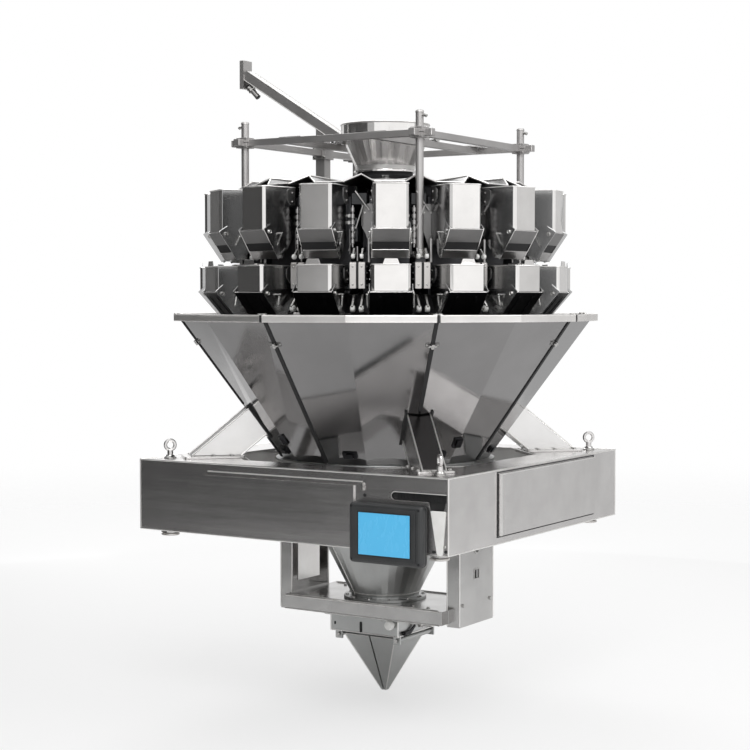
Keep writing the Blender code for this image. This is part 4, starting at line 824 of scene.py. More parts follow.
def chute_seams():
    """Black seals in the eight seams, parted where the legs come through, and the rubber round each leg."""
    low, high = CHUTE_LOW + 0.004, RIM_LOW - 0.0005
    with piece("chute_seam_seals", RUBBER, *SIDE_RING, ease=PLATE_EDGE) as plain:
        seam_seal(plain, (low, high))
    with piece("chute_leg_seals", RUBBER, *LEG_RING, ease=PLATE_EDGE) as parted:
        seam_seal(parted, (low, 0.2985), (0.4035, high))
        for side in SIDES:
            prism(parted, wall_strip(0.299, 0.403, -0.002, 0.017),
                  *mirrored(side, LEG_HALF + 0.0005, LEG_HALF + 0.0085), UPRIGHT)


def chute_rim():
    """The rolled beads and band on the rim, and the joint blocks with their screws at its corners."""
    ends = (RIM_GAP_ANGLE, HEAD_STEP)
    with piece("chute_rim_bead", SATIN_RIM, *SEAM_RING) as bead:
        sweep(bead, [polar(CHUTE_LIP - 0.0015, angle, RIM_TOP - 0.0005) for angle in ends], 0.0032)
        sweep(bead, [polar(CHUTE_LIP - 0.001, angle, RIM_LOW + 0.001) for angle in ends], 0.0022)
        band = rectangle(about(CHUTE_LIP, 0.001), (RIM_LOW + 0.002, RIM_TOP - 0.002))
        skin(bead, [[bead.verts.new(polar(radius, angle, height)) for radius, height in band] for angle in ends],
             closed=False)
        other_half = bmesh.ops.duplicate(bead, geom=bead.verts[:] + bead.edges[:] + bead.faces[:])["geom"]
        for item in other_half:
            if isinstance(item, bmesh.types.BMVert):
                item.co = Matrix.Rotation(2 * HEAD_STEP, 3, "Z") @ Vector((item.co.x, -item.co.y, item.co.z))
    with piece("rim_joint_blocks", RIM_STEEL, *SEAM_RING, ease=PLATE_EDGE) as blocks:
        for side in SIDES:
            block(blocks, (CHUTE_LIP - 0.018, CHUTE_LIP - 0.0005), mirrored(side, 0.0036, 0.01),
                  (RIM_TOP + 0.0002, RIM_TOP + 0.0062))
    with piece("rim_joint_screws", SCREW_STEEL, *SEAM_RING) as screws:
        rod(screws, *[(CHUTE_LIP - 0.009, y, RIM_TOP + 0.0036) for y in (-0.015, 0.015)], 0.0022, 10)


def chute_latches():
    """Toggle latches over the seams under the rim, and the clips at the chute's foot and legs."""
    place = wall_place(0.6, 0)
    with (piece("seam_latch_screws", SCREW_STEEL, *SEAM_RING) as screws,
          piece("seam_latch_levers", SCREW_STEEL, *SEAM_RING, ease=SHEET_EDGE) as levers,
          piece("seam_latch_plates", DOOR_STEEL, *SEAM_RING, ease=CUT_EDGE) as plates):
        for side in SIDES:
            tilt = place @ turn(side * HEAD_STEP / 2, "Y")
            prism(plates, rounded(mirrored(side, 0.007, 0.021), (-0.008, 0.008), 0.003), SUNK, 0.002, tilt)
            button_screw(screws, tilt @ at(side * 0.016, 0, 0.002), 0.0026)
        rod(levers, *[place @ Vector((x, 0, 0.0062)) for x in (-0.013, 0.013)], 0.003, 12)
        prism(levers, rounded((-0.0045, 0.0045), (-0.0085, 0.0085), 0.003), 0.003, 0.0088, place)
    for name, ring_of, height, width, drop, shift in (("chute_foot_clips", SEAM_RING, 0.262, 0.046, 0.024, 0.02),
                                                      ("chute_leg_clips", LEG_RING, 0.298, 0.03, 0.036, 0.07)):
        place = wall_place(height, HEAD_STEP / 2) @ at(shift, 0, -0.0085)
        with piece(name, DARK_DOOR_STEEL, *ring_of, ease=PLATE_EDGE) as clips:
            prism(clips, rounded(about(0, width / 2), about(0, drop / 2), 0.003), 0, 0.0075, place)
            prism(clips, rounded(about(0, width / 4), about(0, drop / 3), 0.002), 0.006, 0.0125, place)


def chute_inside():
    """Thin wear strips down the inside of every fold of the chute."""
    with piece("chute_wear_strips", LIP_STEEL, copies=8, start=HEAD_STEP, ease=PLATE_EDGE) as strips:
        prism(strips, wall_strip(CHUTE_LOW + 0.03, RIM_LOW - 0.02, -0.0062, 0.0095), -0.006, 0.006, UPRIGHT)


def leg_dressing():
    """Bolted base flanges on the frame's corner plates, weld beads round them and edge folds up each leg."""
    inner, outer = LEG_FOOT
    with piece("leg_base_flanges", BEAM_STEEL, *LEG_RING, ease=PANEL_EDGE) as flanges:
        prism(flanges, rounded((inner - 0.018, outer + 0.014), (-0.056, 0.056), 0.008), FRAME_TOP + 0.0003,
              FRAME_TOP + 0.0068)
    with piece("leg_bolts", SCREW_STEEL, *LEG_RING) as bolts:
        fasten(bolts, hex_bolt, 0.0062, grid((inner + 0.022, sum(LEG_FOOT) / 2, outer - 0.012), (-0.0465, 0.0465),
                                             FRAME_TOP + 0.0066))
    with piece("leg_welds", SCREW_STEEL, *LEG_RING) as welds:
        top = FRAME_TOP + 0.007
        lean = (top - FRAME_TOP) / LEG_SLOPE
        corners = rectangle((inner - lean, outer - lean), (-LEG_HALF, LEG_HALF))
        sweep(welds, [(x, y, top) for x, y in corners], 0.003, closed=True)
    with piece("leg_edge_folds", RIM_STEEL, *LEG_RING) as edges:
        for x in LEG_FOOT:
            run = x - HUB_REACH
            for side in SIDES:
                y = side * (LEG_HALF - 0.0002)
                sweep(edges, [(x - 0.004, y, FRAME_TOP + 0.004), (x - run, y, FRAME_TOP + run * LEG_SLOPE)], 0.0024)


# Base frame


def face_place(side):
    """Local X along the frame's face, local Y up and local Z out of it; side 0 is the screen's, 1 that to its right."""
    return turn(side * RIGHT_ANGLE) @ at(0, -FRAME_HALF) @ UPRIGHT


def frame_covers():
    """The raised fold over the frame's front cover, and the seam and folds of the panel round the corner."""
    front = face_place(0)
    right = face_place(1)
    half = 0.0034 / 2
    left, far, low, high = -0.2675, 0.3795, 0.0435, 0.2315
    with piece("frame_cover_seams", RUBBER) as seams:
        for x, y in (((left - half, far + half), about(low, half)), ((left - half, far + half), about(high, half)),
                     (about(left, half), (low + half, high - half)), (about(far, half), (low + half, high - half))):
            block(seams, x, y, (SUNK, 0.0014), right)
    with piece("frame_cover_folds", RIM_STEEL, ease=SHEET_EDGE) as folds:
        sweep(folds, [front @ Vector((x, 0.215, 0.0006)) for x in (-0.285, 0.268)], 0.0021)
        block(folds, (-0.264, -0.252), (0.047, 0.228), (0.0074, 0.0098), right)
        block(folds, (-0.264, 0.376), (0.224, 0.228), (0.0074, 0.0094), right)


def cable_slot():
    """The brush in the cable slot, its bright edge, the guide plate in its notch, white as a painted highlight, the
    cover's latch and plugs.
    """
    front = face_place(0)
    left_end = (0.377, 0.181)
    half_turn = (RIGHT_ANGLE, 3 * RIGHT_ANGLE, 8, left_end)
    back = -0.0196
    with piece("cable_slot_brush", RUBBER) as brush:
        prism(brush, [(0.5425, 0.1712), (0.5425, 0.1908)] + arc(0.0098, *half_turn), back, -0.006, front)
        prism(brush, [(0.4855, 0.172), (0.5035, 0.1055), (0.5245, 0.1055), (0.5425, 0.172)], back, -0.011, front)
        for i in range(30):
            block(brush, about(0.384 + i * 0.0052, 0.001), (0.1722, 0.1898), (-0.0062, -0.0036), front)
    # The plate's white is a painted highlight, for the light that the tilted plate catches.
    with piece("cable_guide_plate", ACETAL, ease=PANEL_EDGE) as guide:
        prism(guide, [(0.494, 0.145), (0.5135, 0.03), (0.5175, 0.024), (0.529, 0.024), (0.533, 0.03),
                      (0.542, 0.145), (0.538, 0.147), (0.498, 0.147)], SUNK, 0.003, front)
    with piece("cable_slot_edge", RIM_STEEL) as edge:
        path = [(0.543, 0.1928)] + arc(0.0118, *half_turn) + [(0.4835, 0.1692)]
        sweep(edge, [front @ Vector((x, y, 0.0004)) for x, y in path], 0.0012, 6)
    with piece("cover_latch", SCREW_STEEL, ease=CUT_EDGE) as latch:
        prism(latch, rounded((0.2665, 0.274), (0.19, 0.212), 0.002), SUNK, 0.007, front)
        block(latch, (0.262, 0.279), (0.1995, 0.203), (SUNK, 0.0042), front)
        button_screw(latch, front @ at(0.538, 0.0485), 0.004)
    with piece("frame_hole_plugs", RUBBER, ease=TURNED_EDGE) as plugs:
        for x, y, wide, tall in ((0.277, 0.177, 0.0052, 0.0052), (0.504, 0.033, 0.0068, 0.0044),
                                 (0.542, 0.036, 0.0044, 0.0052)):
            prism(plugs, [(x + wide * u, y + tall * v) for u, v in circle(1, 20)], SUNK, 0.0012, front)


def frame_corners():
    """Weld beads on the beam mitres and corner plates, folded beam edges, and collars under the lifting eyes."""
    with piece("frame_corner_welds", SCREW_STEEL, *SIDE_RING) as welds:
        inner, outer = OPENING_HALF, FRAME_HALF - 0.004
        plate_top = FRAME_TOP + 0.0003
        sweep(welds, [(inner - GUSSET_LEG, inner, plate_top), (inner, inner - GUSSET_LEG, plate_top)], 0.0016)
        sweep(welds, [(inner + 0.002, inner + 0.002, FRAME_TOP), (outer, outer, FRAME_TOP)], 0.0012)
    with piece("frame_edge_folds", RIM_STEEL, *SIDE_RING) as folds:
        half = FRAME_HALF - 0.0012
        for z in (FRAME_TOP - 0.0012, FRAME_LOW + 0.0012):
            sweep(folds, [(-half, -half, z), (half, -half, z)], 0.0026)
        sweep(folds, [(-half, -half, z) for z in (FRAME_LOW, FRAME_TOP)], 0.0026)
    with piece("lifting_eye_collars", SCREW_STEEL, *SIDE_RING, ease=TURNED_EDGE) as collars:
        lathe(collars, [(0.004, 0.0002), (0.019, 0.0002), (0.019, 0.0035), (0.0145, 0.006), (0.0125, 0.011),
                        (0.004, 0.011)], 28, turn(EIGHTH_TURN) @ at(FOOT_RADIUS, 0, FRAME_TOP))


def foot_dressing():
    """Turned pads and lock nuts at the four feet."""
    place = turn(EIGHTH_TURN) @ at(FOOT_RADIUS, 0)
    with piece("foot_pads", COVER_ALLOY, *SIDE_RING, ease=CUT_EDGE) as pads:
        lathe(pads, [(0.018, 0.0003), (0.0265, 0.0003), (0.0285, 0.0022), (0.0285, 0.006), (0.025, 0.0085),
                     (0.018, 0.0085)], 32, place)
    with piece("foot_lock_nuts", SCREW_STEEL, *SIDE_RING, ease=CUT_EDGE) as nuts:
        prism(nuts, circle(0.029, 6), 0.01, 0.0185, place)
        tube(nuts, 0.018, 0.0275, 0.0186, 0.0226, 28, place)


# Operator screen


def screen_dressing():
    """The bezel and seal round the display, the shell's joint line and its screws."""
    front = face_place(0) @ at(HOUSING_X, HOUSING_Z, HOUSING_DEPTH + 0.0003)
    for name, finish, ease, outer, inner, low, high in (
            ("screen_bezel", HOUSING_ABS, PANEL_EDGE, (0.101, 0.0735, 0.008), (0.086, 0.061, 0.001),
             -0.0004, 0.0026),
            ("screen_seal", RUBBER, TURNED_EDGE, (0.0874, 0.0624, 0.0015), (0.0846, 0.0596, 0.0012), 0.002, 0.0042),
            ("housing_joint_seal", RUBBER, 0, (0.1214, 0.0859, 0.0125), (0.119, 0.0835, 0.011), -0.024, -0.0222)):
        outlines = [rounded((-x, x), (-y, y), radius, 5) for x, y, radius in (outer, inner)]
        with piece(name, finish, ease=ease, slot="housing") as frame_round:
            ring(frame_round, *outlines, low, high, front)
    with piece("housing_screws", DARK_DOOR_STEEL, slot="housing") as screws:
        for x, y in CORNERS:
            button_screw(screws, front @ at(0.1105 * x, 0.075 * y, -0.0002), 0.0034)


# Hangers, timing hopper and gates


def hanger_dressing():
    """Inner stiffeners and folded edges of the hangers, their screws, and the rims of their holes."""
    with (piece("hanger_hole_rims", SCREW_STEEL, ease=TURNED_EDGE) as rims,
          piece("hanger_edge_folds", RIM_STEEL) as folds,
          piece("hanger_plates", RIM_STEEL, ease=PANEL_EDGE) as plates,
          piece("hanger_bolts", SCREW_STEEL) as bolts):
        for side in SIDES:
            face = side * (HANGER_X + HANGER_HALF_DEPTH)
            back = side * (HANGER_X - HANGER_HALF_DEPTH)
            outward = turn(side * RIGHT_ANGLE, "Y")
            fasten(bolts, hex_bolt, 0.006, grid((face,), (-0.085, 0.085), -0.02, -0.205), outward)
            inside = side * (HANGER_X - HANGER_HALF_DEPTH + 0.006)
            block(plates, sorted((inside, inside + side * 0.005)), (-0.062, 0.062), (-0.185, -0.03))
            for y in (-HANGER_HALF_WIDTH, HANGER_HALF_WIDTH):
                for x in (face, back):
                    sweep(folds, [(x, y, HANGER_LOW + 0.004), (x, y, FRAME_LOW - 0.003)], 0.002)
            tube(rims, 0.0118, 0.0165, SUNK, 0.0018, 28, at(face + side * 0.0003, 0, -0.039) @ outward)
            outer, inner = (rounded((-x, x), (-x, x), radius) for x, radius in ((0.0168, 0.003), (0.0138, 0.001)))
            ring(rims, outer, inner, SUNK, 0.0016, at(face, 0, -0.117) @ outward)


def tray_dressing():
    """The tray's folded rim lines and screws, and the bolts, welds and rings of the lower funnel above it."""
    reach = HANGER_X - HANGER_HALF_DEPTH - 0.002
    with piece("tray_edge_folds", RIM_STEEL) as folds:
        for y in (-TRAY_HALF_WIDTH, TRAY_HALF_WIDTH):
            for z in (TRAY_TOP, TRAY_LOW):
                sweep(folds, [(-reach, y, z), (reach, y, z)], 0.0022)
            block(folds, (-reach + 0.01, reach - 0.01), about(y * 0.965, 0.0016), (TRAY_TOP, TRAY_TOP + 0.004))
    with piece("tray_bolts", SCREW_STEEL) as bolts:
        fasten(bolts, hex_bolt, 0.0056, grid((-0.225, -0.17, 0.17, 0.225), (-0.11, 0.11), TRAY_TOP))
        hex_bolt(bolts, at(COLLAR_RADIUS - 0.009, 0, TRAY_TOP + 0.0082), 0.0048)
    with piece("funnel_collar_bolts", SCREW_STEEL, copies=12, start=0.13) as clamps:
        hex_bolt(clamps, at(COLLAR_RADIUS - 0.01, 0, TRAY_TOP + 0.0083), 0.005)
    with piece("lower_funnel_welds", SCREW_STEEL, copies=2, start=1.1) as welds:
        sweep(welds, [(0.1105, 0, -0.203), (0.3255, 0, 0.218)], 0.0022)
    with piece("lower_funnel_rings", RIM_STEEL, ease=TURNED_EDGE) as rings:
        for radius, z in ((0.1125, -0.196), (0.325, 0.2215)):
            lathe(rings, [(radius - 0.004, z - 0.0025), (radius, z - 0.0035), (radius + 0.0025, z),
                          (radius - 0.001, z + 0.003), (radius - 0.004, z + 0.0025)], 72)


def timing_dressing():
    """The timing hopper's flange bolts, edge folds, knob, lever, black patches of painted shade at its slots, and the
    air cylinder on its bracket.
    """
    front = at(0, -TIMING_HALF) @ UPRIGHT
    side = at(TIMING_HALF, 0) @ UPRIGHT_ACROSS
    bolt_line = (-0.1325, 0.1325)
    with piece("timing_flange_bolts", SCREW_STEEL) as bolts:
        fasten(bolts, hex_bolt, 0.0044, grid(bolt_line, (-0.105, 0, 0.105), TIMING_FLANGE_LOW), DOWNWARD)
        fasten(bolts, hex_bolt, 0.0044, grid((-0.07, 0.07), bolt_line, TIMING_FLANGE_LOW), DOWNWARD)
    with piece("timing_hopper_folds", RIM_STEEL) as folds:
        corners = rectangle((-TIMING_HALF, TIMING_HALF), (-TIMING_HALF, TIMING_HALF))
        for x, y in corners:
            sweep(folds, [(x, y, TIMING_LOW + 0.001), (x, y, TRAY_LOW - 0.007)], 0.0022)
        sweep(folds, [(x, y, TIMING_LOW + 0.0008) for x, y in corners], 0.0022, closed=True)
    with piece("timing_hopper_knob", ACETAL, ease=TURNED_EDGE) as knob:
        lathe(knob, [(0, SUNK), (0.007, SUNK), (0.007, 0.01), (0.0135, 0.012), (0.015, 0.016), (0.015, 0.024),
                     (0.0125, 0.029), (0.006, 0.031), (0, 0.031)], 28, at(0.106, -TIMING_HALF, -0.279) @ UPRIGHT)
    with piece("timing_lever", DARK_DOOR_STEEL, ease=PLATE_EDGE) as lever:
        prism(lever, [(-0.102, -0.316), (-0.06, -0.316), (-0.03, -0.296), (-0.036, -0.29), (-0.064, -0.304),
                      (-0.102, -0.306)], 0.0042, 0.009, side)
        tube(lever, 0, 0.006, SUNK, 0.012, 20, side @ at(-0.094, -0.3105))
    # Flat black patches where the front has slots: painted shade of the openings.
    with piece("timing_slot_shade", RUBBER) as plugs:
        prism(plugs, rounded((-0.016, -0.007), (-0.316, -0.282), 0.004), SUNK, 0.0012, front)
        prism(plugs, rounded((-0.112, -0.106), (-0.3, -0.29), 0.0025), SUNK, 0.0012, front)
    with piece("cylinder_bracket", LIP_STEEL, ease=PLATE_EDGE) as bracket:
        prism(bracket, rounded((0.018, 0.096), (-0.31, -0.272), 0.004), SUNK, 0.004, side)
        for y in ((0.02, 0.0235), (0.09, 0.0935)):
            block(bracket, (TIMING_HALF + 0.003, TIMING_HALF + 0.036), y, (-0.306, -0.278))
    with piece("gate_air_cylinder", COVER_ALLOY, ease=TURNED_EDGE) as cylinder:
        rod(cylinder, (CYLINDER_X, 0.016, CYLINDER_Z), (CYLINDER_X, 0.086, CYLINDER_Z), 0.011, 24, 0.12)
        rod(cylinder, (CYLINDER_X, 0.017, CYLINDER_Z), (CYLINDER_X, -0.028, CYLINDER_Z), 0.0038, 14)
        prism(cylinder, circle(0.0072, 6), -0.004, 0.002, at(CYLINDER_X, -0.028, CYLINDER_Z) @ UPRIGHT)


def gate_dressing():
    """Folded edges and the nuts on the hinge pins of each gate; these swing with it."""
    for side, name in ((-1, "gate_1"), (1, "gate_2")):
        top_x = side * (GATE_TOP_HALF - 0.0005)
        top_z = GATE_TOP - 0.001
        with piece(name + "_edge_folds", RIM_STEEL, body=name) as edges:
            for y in SIDES:
                high = (top_x, y * (GATE_TOP_HALF - 0.0005), top_z)
                low = (side * (GATE_TIP_HALF - 0.0005), y * (GATE_TIP_HALF - 0.0005), GATE_TIP + 0.001)
                sweep(edges, [high, low], 0.0018)
                sweep(edges, [(side * 0.0045, y * (GATE_TOP_HALF + 0.0004), top_z), high], 0.0016)
            sweep(edges, [(top_x, y * GATE_TOP_HALF, top_z) for y in SIDES], 0.0018)
        with piece(name + "_pin_nuts", SCREW_STEEL, ease=0.0003, body=name) as nuts:
            for y in SIDES:
                place = at(side * HINGE_X, y * (GATE_TOP_HALF + 0.0165), HINGE_Z) @ turn(-y * RIGHT_ANGLE, "X")
                prism(nuts, circle(0.0068, 6), -0.003, 0.0016, place)


# Top frame, infeed funnel and sensor


def pole_dressing():
    """Caps, top screws and feet of the poles, and the screws and split lines of their clamps."""
    clamp_top = BAR_Z + CLAMP_HALF_HEIGHT - 0.0002
    foot = [(radius, POLE_LOW + rise) for radius, rise in ((0.011, 0.0002), (0.0225, 0.0002), (0.0225, 0.005),
                                                           (0.0165, 0.007), (0.0165, 0.024), (0.011, 0.024))]
    with (piece("pole_feet", SCREW_STEEL, ease=TURNED_EDGE) as feet,
          piece("clamp_split_lines", RUBBER) as splits,
          piece("clamp_screws", SCREW_STEEL) as screws,
          piece("pole_top_screws", SCREW_STEEL, ease=SHEET_EDGE) as studs,
          piece("pole_caps", BAR_STEEL, ease=TURNED_EDGE) as caps):
        for x, y in CORNERS:
            here = at(x * POLE_OFFSET, y * POLE_OFFSET)
            lathe(caps, [(0, POLE_TOP - 0.002), (0.0128, POLE_TOP - 0.002), (0.0128, POLE_TOP + 0.002),
                         (0.0105, POLE_TOP + 0.0055), (0, POLE_TOP + 0.0062)], 24, here)
            lathe(feet, foot, 28, here)
            set_screw = here @ turn(math.atan2(y, x)) @ at(0.016, 0, POLE_LOW + 0.015) @ OUTWARD
            hex_bolt(screws, set_screw, 0.0042)
            for i in range(4):
                hole = turn(i * RIGHT_ANGLE + EIGHTH_TURN) @ at(0.019, 0, POLE_LOW + 0.0046)
                button_screw(screws, here @ hole, 0.0022)
            for u, v in CORNERS:
                button_screw(screws, here @ at(0.015 * u, 0.015 * v, clamp_top), 0.0032)
            half = CLAMP_HALF + 0.0003
            block(splits, about(x * POLE_OFFSET, half), about(y * POLE_OFFSET, half), about(BAR_Z, 0.001))
            stud = here @ at(0, 0, POLE_TOP - 0.01)
            bends = ((0.009, 0), (0.018, 0), (0.024, -0.003))
            sweep(studs, [stud @ Vector((x * out, 0, drop)) for out, drop in bends], 0.005, 12)
    with piece("bar_end_caps", BAR_STEEL, ease=0.003) as ends:
        for x, y in CORNERS:
            reach = (BAR_REACH - 0.001, BAR_REACH + 0.003)
            block(ends, mirrored(x, *reach), about(y * POLE_OFFSET, 0.0107), about(BAR_Z, 0.0107))
            block(ends, about(x * POLE_OFFSET, 0.0107), mirrored(y, *reach), about(BAR_Z, 0.0107))
    with piece("inner_bar_gussets", LIP_STEEL, ease=SHEET_EDGE) as gussets:
        for side, y in CORNERS:
            x = side * INNER_BAR_X
            corner = y * (POLE_OFFSET - BAR_HALF)
            prism(gussets, [(x - 0.04, corner), (x + 0.04, corner), (x + 0.012, corner - y * 0.05),
                            (x - 0.012, corner - y * 0.05)], BAR_Z + 0.0102, BAR_Z + 0.0142)
            for u, v in ((-0.026, -0.01), (0.026, -0.01), (0, -0.036)):
                button_screw(gussets, at(x + u, corner + y * v, BAR_Z + 0.014), 0.0038)


def infeed_dressing():
    """The infeed funnel's rolled rim, welded seam, polished band, and the bolts of its flange and tabs."""
    radius, low = INFEED_RADIUS, INFEED_BAND_LOW
    neck, neck_z = INFEED_NECK_RADIUS, INFEED_NECK_Z
    with piece("infeed_rim_and_band", RIM_STEEL, ease=CUT_EDGE) as rims:
        sweep(rims, [(x, y, INFEED_TOP) for x, y in circle(radius - 0.001, 64)], 0.0036, closed=True)
        lathe(rims, [(radius - 0.002, low - 0.0016), (radius + 0.0016, low), (radius + 0.0016, low + 0.004),
                     (radius - 0.002, low + 0.006)], 64)
        lathe(rims, [(neck - 0.001, neck_z + 0.001), (neck + 0.0045, neck_z + 0.001),
                     (neck + 0.0075, neck_z + 0.0175), (neck + 0.002, neck_z + 0.0175)], 64)
    with piece("infeed_seam_weld", SCREW_STEEL, start=-2.0) as seam:
        wall = radius + 0.0003
        sweep(seam, [(neck + 0.0066, 0, neck_z + 0.018), (wall, 0, low), (wall, 0, INFEED_TOP - 0.003)], 0.0014, 6)
    with piece("infeed_bolts", SCREW_STEEL) as bolts:
        hex_bolt(bolts, at(INFEED_FLANGE_RADIUS - 0.0055, 0, neck_z), 0.0028)
        repeat(bolts, 12, 0.2)
        for x, y in CORNERS:
            hex_bolt(bolts, at(x * (INNER_BAR_X + 0.003), y * 0.04, BAR_Z + 0.0163), 0.005)
    with piece("infeed_outlet_collar", RUBBER, ease=SHEET_EDGE) as collar:
        tube(collar, neck - 0.004, neck - 0.001, neck_z - 0.018, neck_z - 0.0058, 64)


def sensor_dressing():
    """Screws, caps, clamp handle and folded edges of the sensor arm, and the sensor's nuts, lens and plug."""
    post_x = -POLE_OFFSET
    with piece("sensor_arm_screws", SCREW_STEEL) as screws:
        fasten(screws, hex_bolt, 0.004, grid((post_x - 0.019, post_x + 0.019), (ARM_Y - 0.024,), BAR_Z - 0.014,
                                              BAR_Z + 0.014), UPRIGHT)
        fasten(screws, hex_bolt, 0.0048, grid((PLATE_FACE,), (ARM_Y,), ARM_END_Z - 0.036, ARM_END_Z + 0.036), LEFTWARD)
        fasten(screws, button_screw, 0.0034, grid((PLATE_FACE,), (ARM_Y - 0.012, ARM_Y + 0.012), ARM_END_Z), LEFTWARD)
    with piece("sensor_post_caps", KNOB_PLASTIC, ease=0.0016) as caps:
        for low, high in ((0.0835, 0.088), (-0.1085, -0.1035)):
            block(caps, about(post_x, 0.0186), about(ARM_Y, 0.0186), (BAR_Z + low, BAR_Z + high))
    with piece("sensor_clamp_handle", KNOB_PLASTIC) as handle:
        bends = ((0, 0), (0.02, 0), (0.026, 0.01), (0.034, 0.05))
        sweep(handle, [(post_x, ARM_Y + 0.024 + y, BAR_Z + 0.004 + z) for y, z in bends], 0.0046, 10)
    with piece("sensor_arm_folds", RIM_STEEL) as folds:
        run = Vector((PLATE_X - ARM_START_X, 0, ARM_END_Z - ARM_START_Z))
        up = Vector((run.z, 0, -run.x)).normalized()
        for y in (-0.02, 0.02):
            for lift in (-0.0155, 0.0155):
                first = Vector((ARM_START_X, ARM_Y + y, ARM_START_Z)) + up * lift + run * 0.01
                sweep(folds, [first, first + run * 0.975], 0.0016)
    start_x = PLATE_X + 0.0003
    place = along((start_x, ARM_Y, SENSOR_Z), (start_x + 0.1, ARM_Y, SENSOR_Z - 0.1))
    with piece("sensor_nuts", SCREW_STEEL, ease=TURNED_EDGE) as nuts:
        for low in (0.014, 0.024):
            prism(nuts, circle(0.0135, 6), low, low + 0.006, place)
        tube(nuts, 0.009, 0.0102, 0.056, 0.0622, 28, place)
    with piece("sensor_lens_and_plug", SOLENOID_PLASTIC, ease=0.0003) as lens:
        lathe(lens, [(0, 0.0612), (0.0086, 0.0612), (0.0086, 0.063), (0.006, 0.064), (0, 0.0643)], 28, place)
        tube(lens, 0, 0.0072, 0.002, 0.01, 24, place)


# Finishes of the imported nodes


NODE_FINISHES = {
    "base_frame": BEAM_STEEL,
    "screen_housing": HOUSING_ABS,
    "screen": SCREEN_FILM,
    "drive_drum": DRIVE_METAL,
    "feeder_pans": PAN_STEEL,
    "top_cone": PAN_STEEL,
    "feed_hopper": HOPPER_STEEL,
    "weigh_hopper": HOPPER_STEEL,
    "chute_panel": CHUTE_STEEL,
    "leg": LEG_STEEL,
    "lower_funnel": TIMING_STEEL,
    "hopper_hanger": HANGER_STEEL,
    "timing_hopper": TIMING_STEEL,
    "timing_gate": TIMING_STEEL,
    "top_frame": BAR_STEEL,
    "infeed_funnel": HOPPER_STEEL,
    "sensor_arm": BAR_STEEL,
    "sensor": BAR_STEEL,
}


def finish_nodes():
    """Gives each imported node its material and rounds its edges; numbered nodes share their kind's material."""
    for name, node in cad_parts.items():
        finish = NODE_FINISHES[name.rstrip("_0123456789")]
        for slot in node.material_slots:
            slot.material = finish
        if not node.material_slots:
            node.data.materials.append(finish)
        node.modifiers.new("weld", "WELD").merge_threshold = 0.00001
        round_edges(node, PLATE_EDGE)


# Studio


def light_world():
    """A plain white surround for the camera and for what metal reflects, and an even room light for the rest."""
    world = bpy.data.worlds.new("studio")
    bpy.context.scene.world = world
    world.use_nodes = True
    tree = world.node_tree
    tree.nodes.clear()
    first = add_node(tree, "Math", {0: add_node(tree, "LightPath", out="Is Camera Ray"),
                                    1: add_node(tree, "LightPath", out="Is Glossy Ray")}, operation="MAXIMUM")
    seen = add_node(tree, "Math", {0: first, 1: add_node(tree, "LightPath", out="Is Transmission Ray")},
                    operation="MAXIMUM")
    room = add_node(tree, "Background", {"Color": linear(WHITE), "Strength": ROOM_LIGHT})
    white = add_node(tree, "Background", {"Color": linear(WHITE), "Strength": 1.0})
    mixed = add_node(tree, "MixShader", {0: seen, 1: room, 2: white})
    add_node(tree, "OutputWorld", {"Surface": mixed})


def hang_card(name, start, end, middle, spread, darkest):
    """A graded grey card round part of the studio, out of the camera's sight, that gives the metal its dark side.

    The angles go round the machine's axis: the card is white at both ends and dark round its middle; spread is the
    angle from the middle at which it is white again and the one within which it is darkest.
    """
    bm = bmesh.new()
    rows = []
    for height in (FLOOR_LEVEL + 0.01, CARD_TOP):
        rows.append([bm.verts.new(polar(CARD_RADIUS, math.radians(angle), height))
                     for angle in range(start, end + 1, CARD_STEP)])
    for i in range(len(rows[0]) - 1):
        bm.faces.new((rows[0][i], rows[0][i + 1], rows[1][i + 1], rows[1][i]))
    bm.transform(AXIS)
    made, tree, _ = new_material(name, WHITE, 0.0, 0.9)
    share = outward_share(tree, polar(1, math.radians(middle), 0))
    edge, core = (math.cos(math.radians(angle)) for angle in spread)
    shade = add_node(tree, "MapRange", {"Value": share, 1: edge, 2: core, 3: 1.0, 4: darkest},
                     interpolation_type="SMOOTHSTEP")
    glow = add_node(tree, "Emission", {"Color": linear(WHITE), "Strength": shade})
    tree.links.new(glow, tree.nodes["Material Output"].inputs["Surface"])
    card = add_object(name, bm, made)
    card.visible_camera = False
    card.visible_shadow = False


def add_soft_light(name, place, aim, size, watts):
    lamp = bpy.data.lights.new(name, "AREA")
    lamp.shape = "RECTANGLE"
    lamp.size, lamp.size_y = size
    lamp.energy = watts
    made = bpy.data.objects.new(name, lamp)
    bpy.context.scene.collection.objects.link(made)
    start = AXIS @ Vector(place)
    made.location = start
    made.rotation_euler = (AXIS @ Vector(aim) - start).to_track_quat("-Z", "Y").to_euler()


def set_lights():
    light_world()
    hang_card("left_graded_card", -213, -78, -145, (66, 36), 0.06)
    hang_card("right_graded_card", 12, 114, 63, (50, 30), 0.62)
    add_soft_light("front_softbox", (2.2, -3.6, 4.2), (0, 0, 0.7), (3.0, 2.2), 110)
    add_soft_light("right_softbox", (3.6, 0.8, 3.8), (0, 0, 0.6), (2.4, 2.4), 50)
    add_soft_light("back_softbox", (-2.6, 3.0, 3.8), (0, 0, 0.6), (2.6, 2.2), 80)


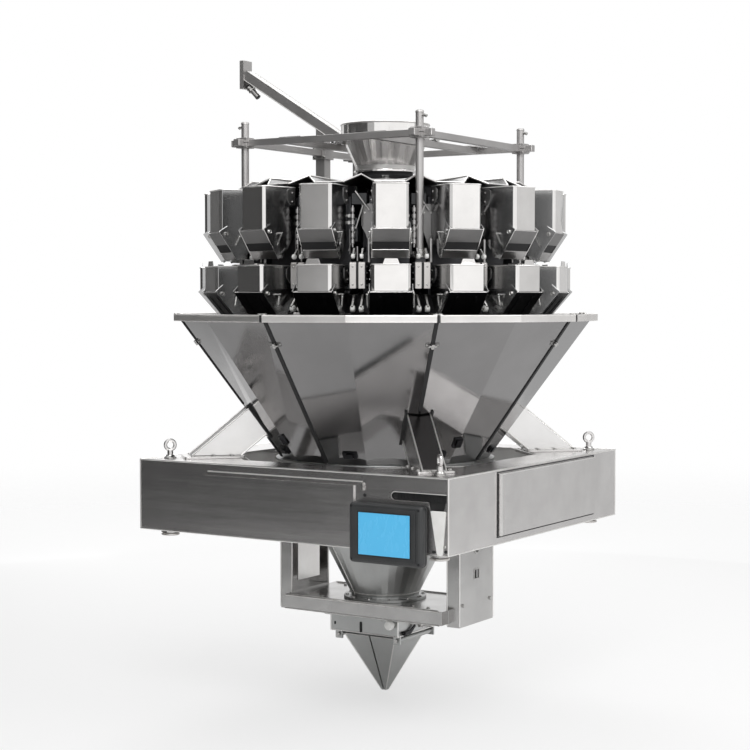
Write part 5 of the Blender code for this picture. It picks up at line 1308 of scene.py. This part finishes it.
def lay_floor():
    """A pale floor that looks white to the camera but for the shadow on it, and fades out toward its edge."""
    made, tree, shader = new_material("matt_studio_floor", "E6E6E6", 0.0, 0.8)
    to_camera = add_node(tree, "LightPath", out="Is Camera Ray")
    share = add_node(tree, "Math", {0: to_camera, 1: FLOOR_WHITENESS}, operation="MULTIPLY")
    white = add_node(tree, "Emission", {"Color": linear(WHITE), "Strength": 1.0})
    mixed = add_node(tree, "MixShader", {0: share, 1: shader.outputs[0], 2: white})
    place = add_node(tree, "TexCoord", out="Object")
    reach = add_node(tree, "VectorMath", {0: place}, out="Value", operation="LENGTH")
    fade = add_node(tree, "MapRange", {"Value": reach, 1: FLOOR_FADE, 2: FLOOR_REACH, 3: 0.0, 4: 1.0},
                    interpolation_type="SMOOTHSTEP")
    clear = add_node(tree, "BsdfTransparent")
    faded = add_node(tree, "MixShader", {0: fade, 1: mixed, 2: clear})
    tree.links.new(faded, tree.nodes["Material Output"].inputs["Surface"])
    bm = bmesh.new()
    bmesh.ops.create_circle(bm, cap_ends=True, segments=64, radius=FLOOR_REACH)
    floor = add_object("studio_floor", bm, made)
    floor.location = (0, 0, FLOOR_LEVEL)


def place_camera():
    lens = bpy.data.cameras.new("photograph_view")
    lens.lens = CAMERA_LENS
    lens.sensor_width = SENSOR_WIDTH
    camera = bpy.data.objects.new("photograph_view", lens)
    bpy.context.scene.collection.objects.link(camera)
    camera.location = AXIS @ Vector(CAMERA_PLACE)
    camera.rotation_euler = (RIGHT_ANGLE - CAMERA_PITCH, 0, CAMERA_HEADING - RIGHT_ANGLE)
    bpy.context.scene.camera = camera


def main():
    bpy.context.scene.view_settings.view_transform = "Standard"
    place_camera()
    set_lights()
    lay_floor()
    finish_nodes()
    for dress in (hopper_rims, hopper_side_plates, door_skins, door_pivots, load_cell_covers, door_rollers,
                  drive_gap_parts, drum_bands, pan_edges, pan_mounts, cone_dressing, chute_seams, chute_rim,
                  chute_latches, chute_inside, leg_dressing, frame_covers, cable_slot, frame_corners, foot_dressing,
                  screen_dressing, hanger_dressing, tray_dressing, timing_dressing, gate_dressing, pole_dressing,
                  infeed_dressing, sensor_dressing):
        dress()


main()
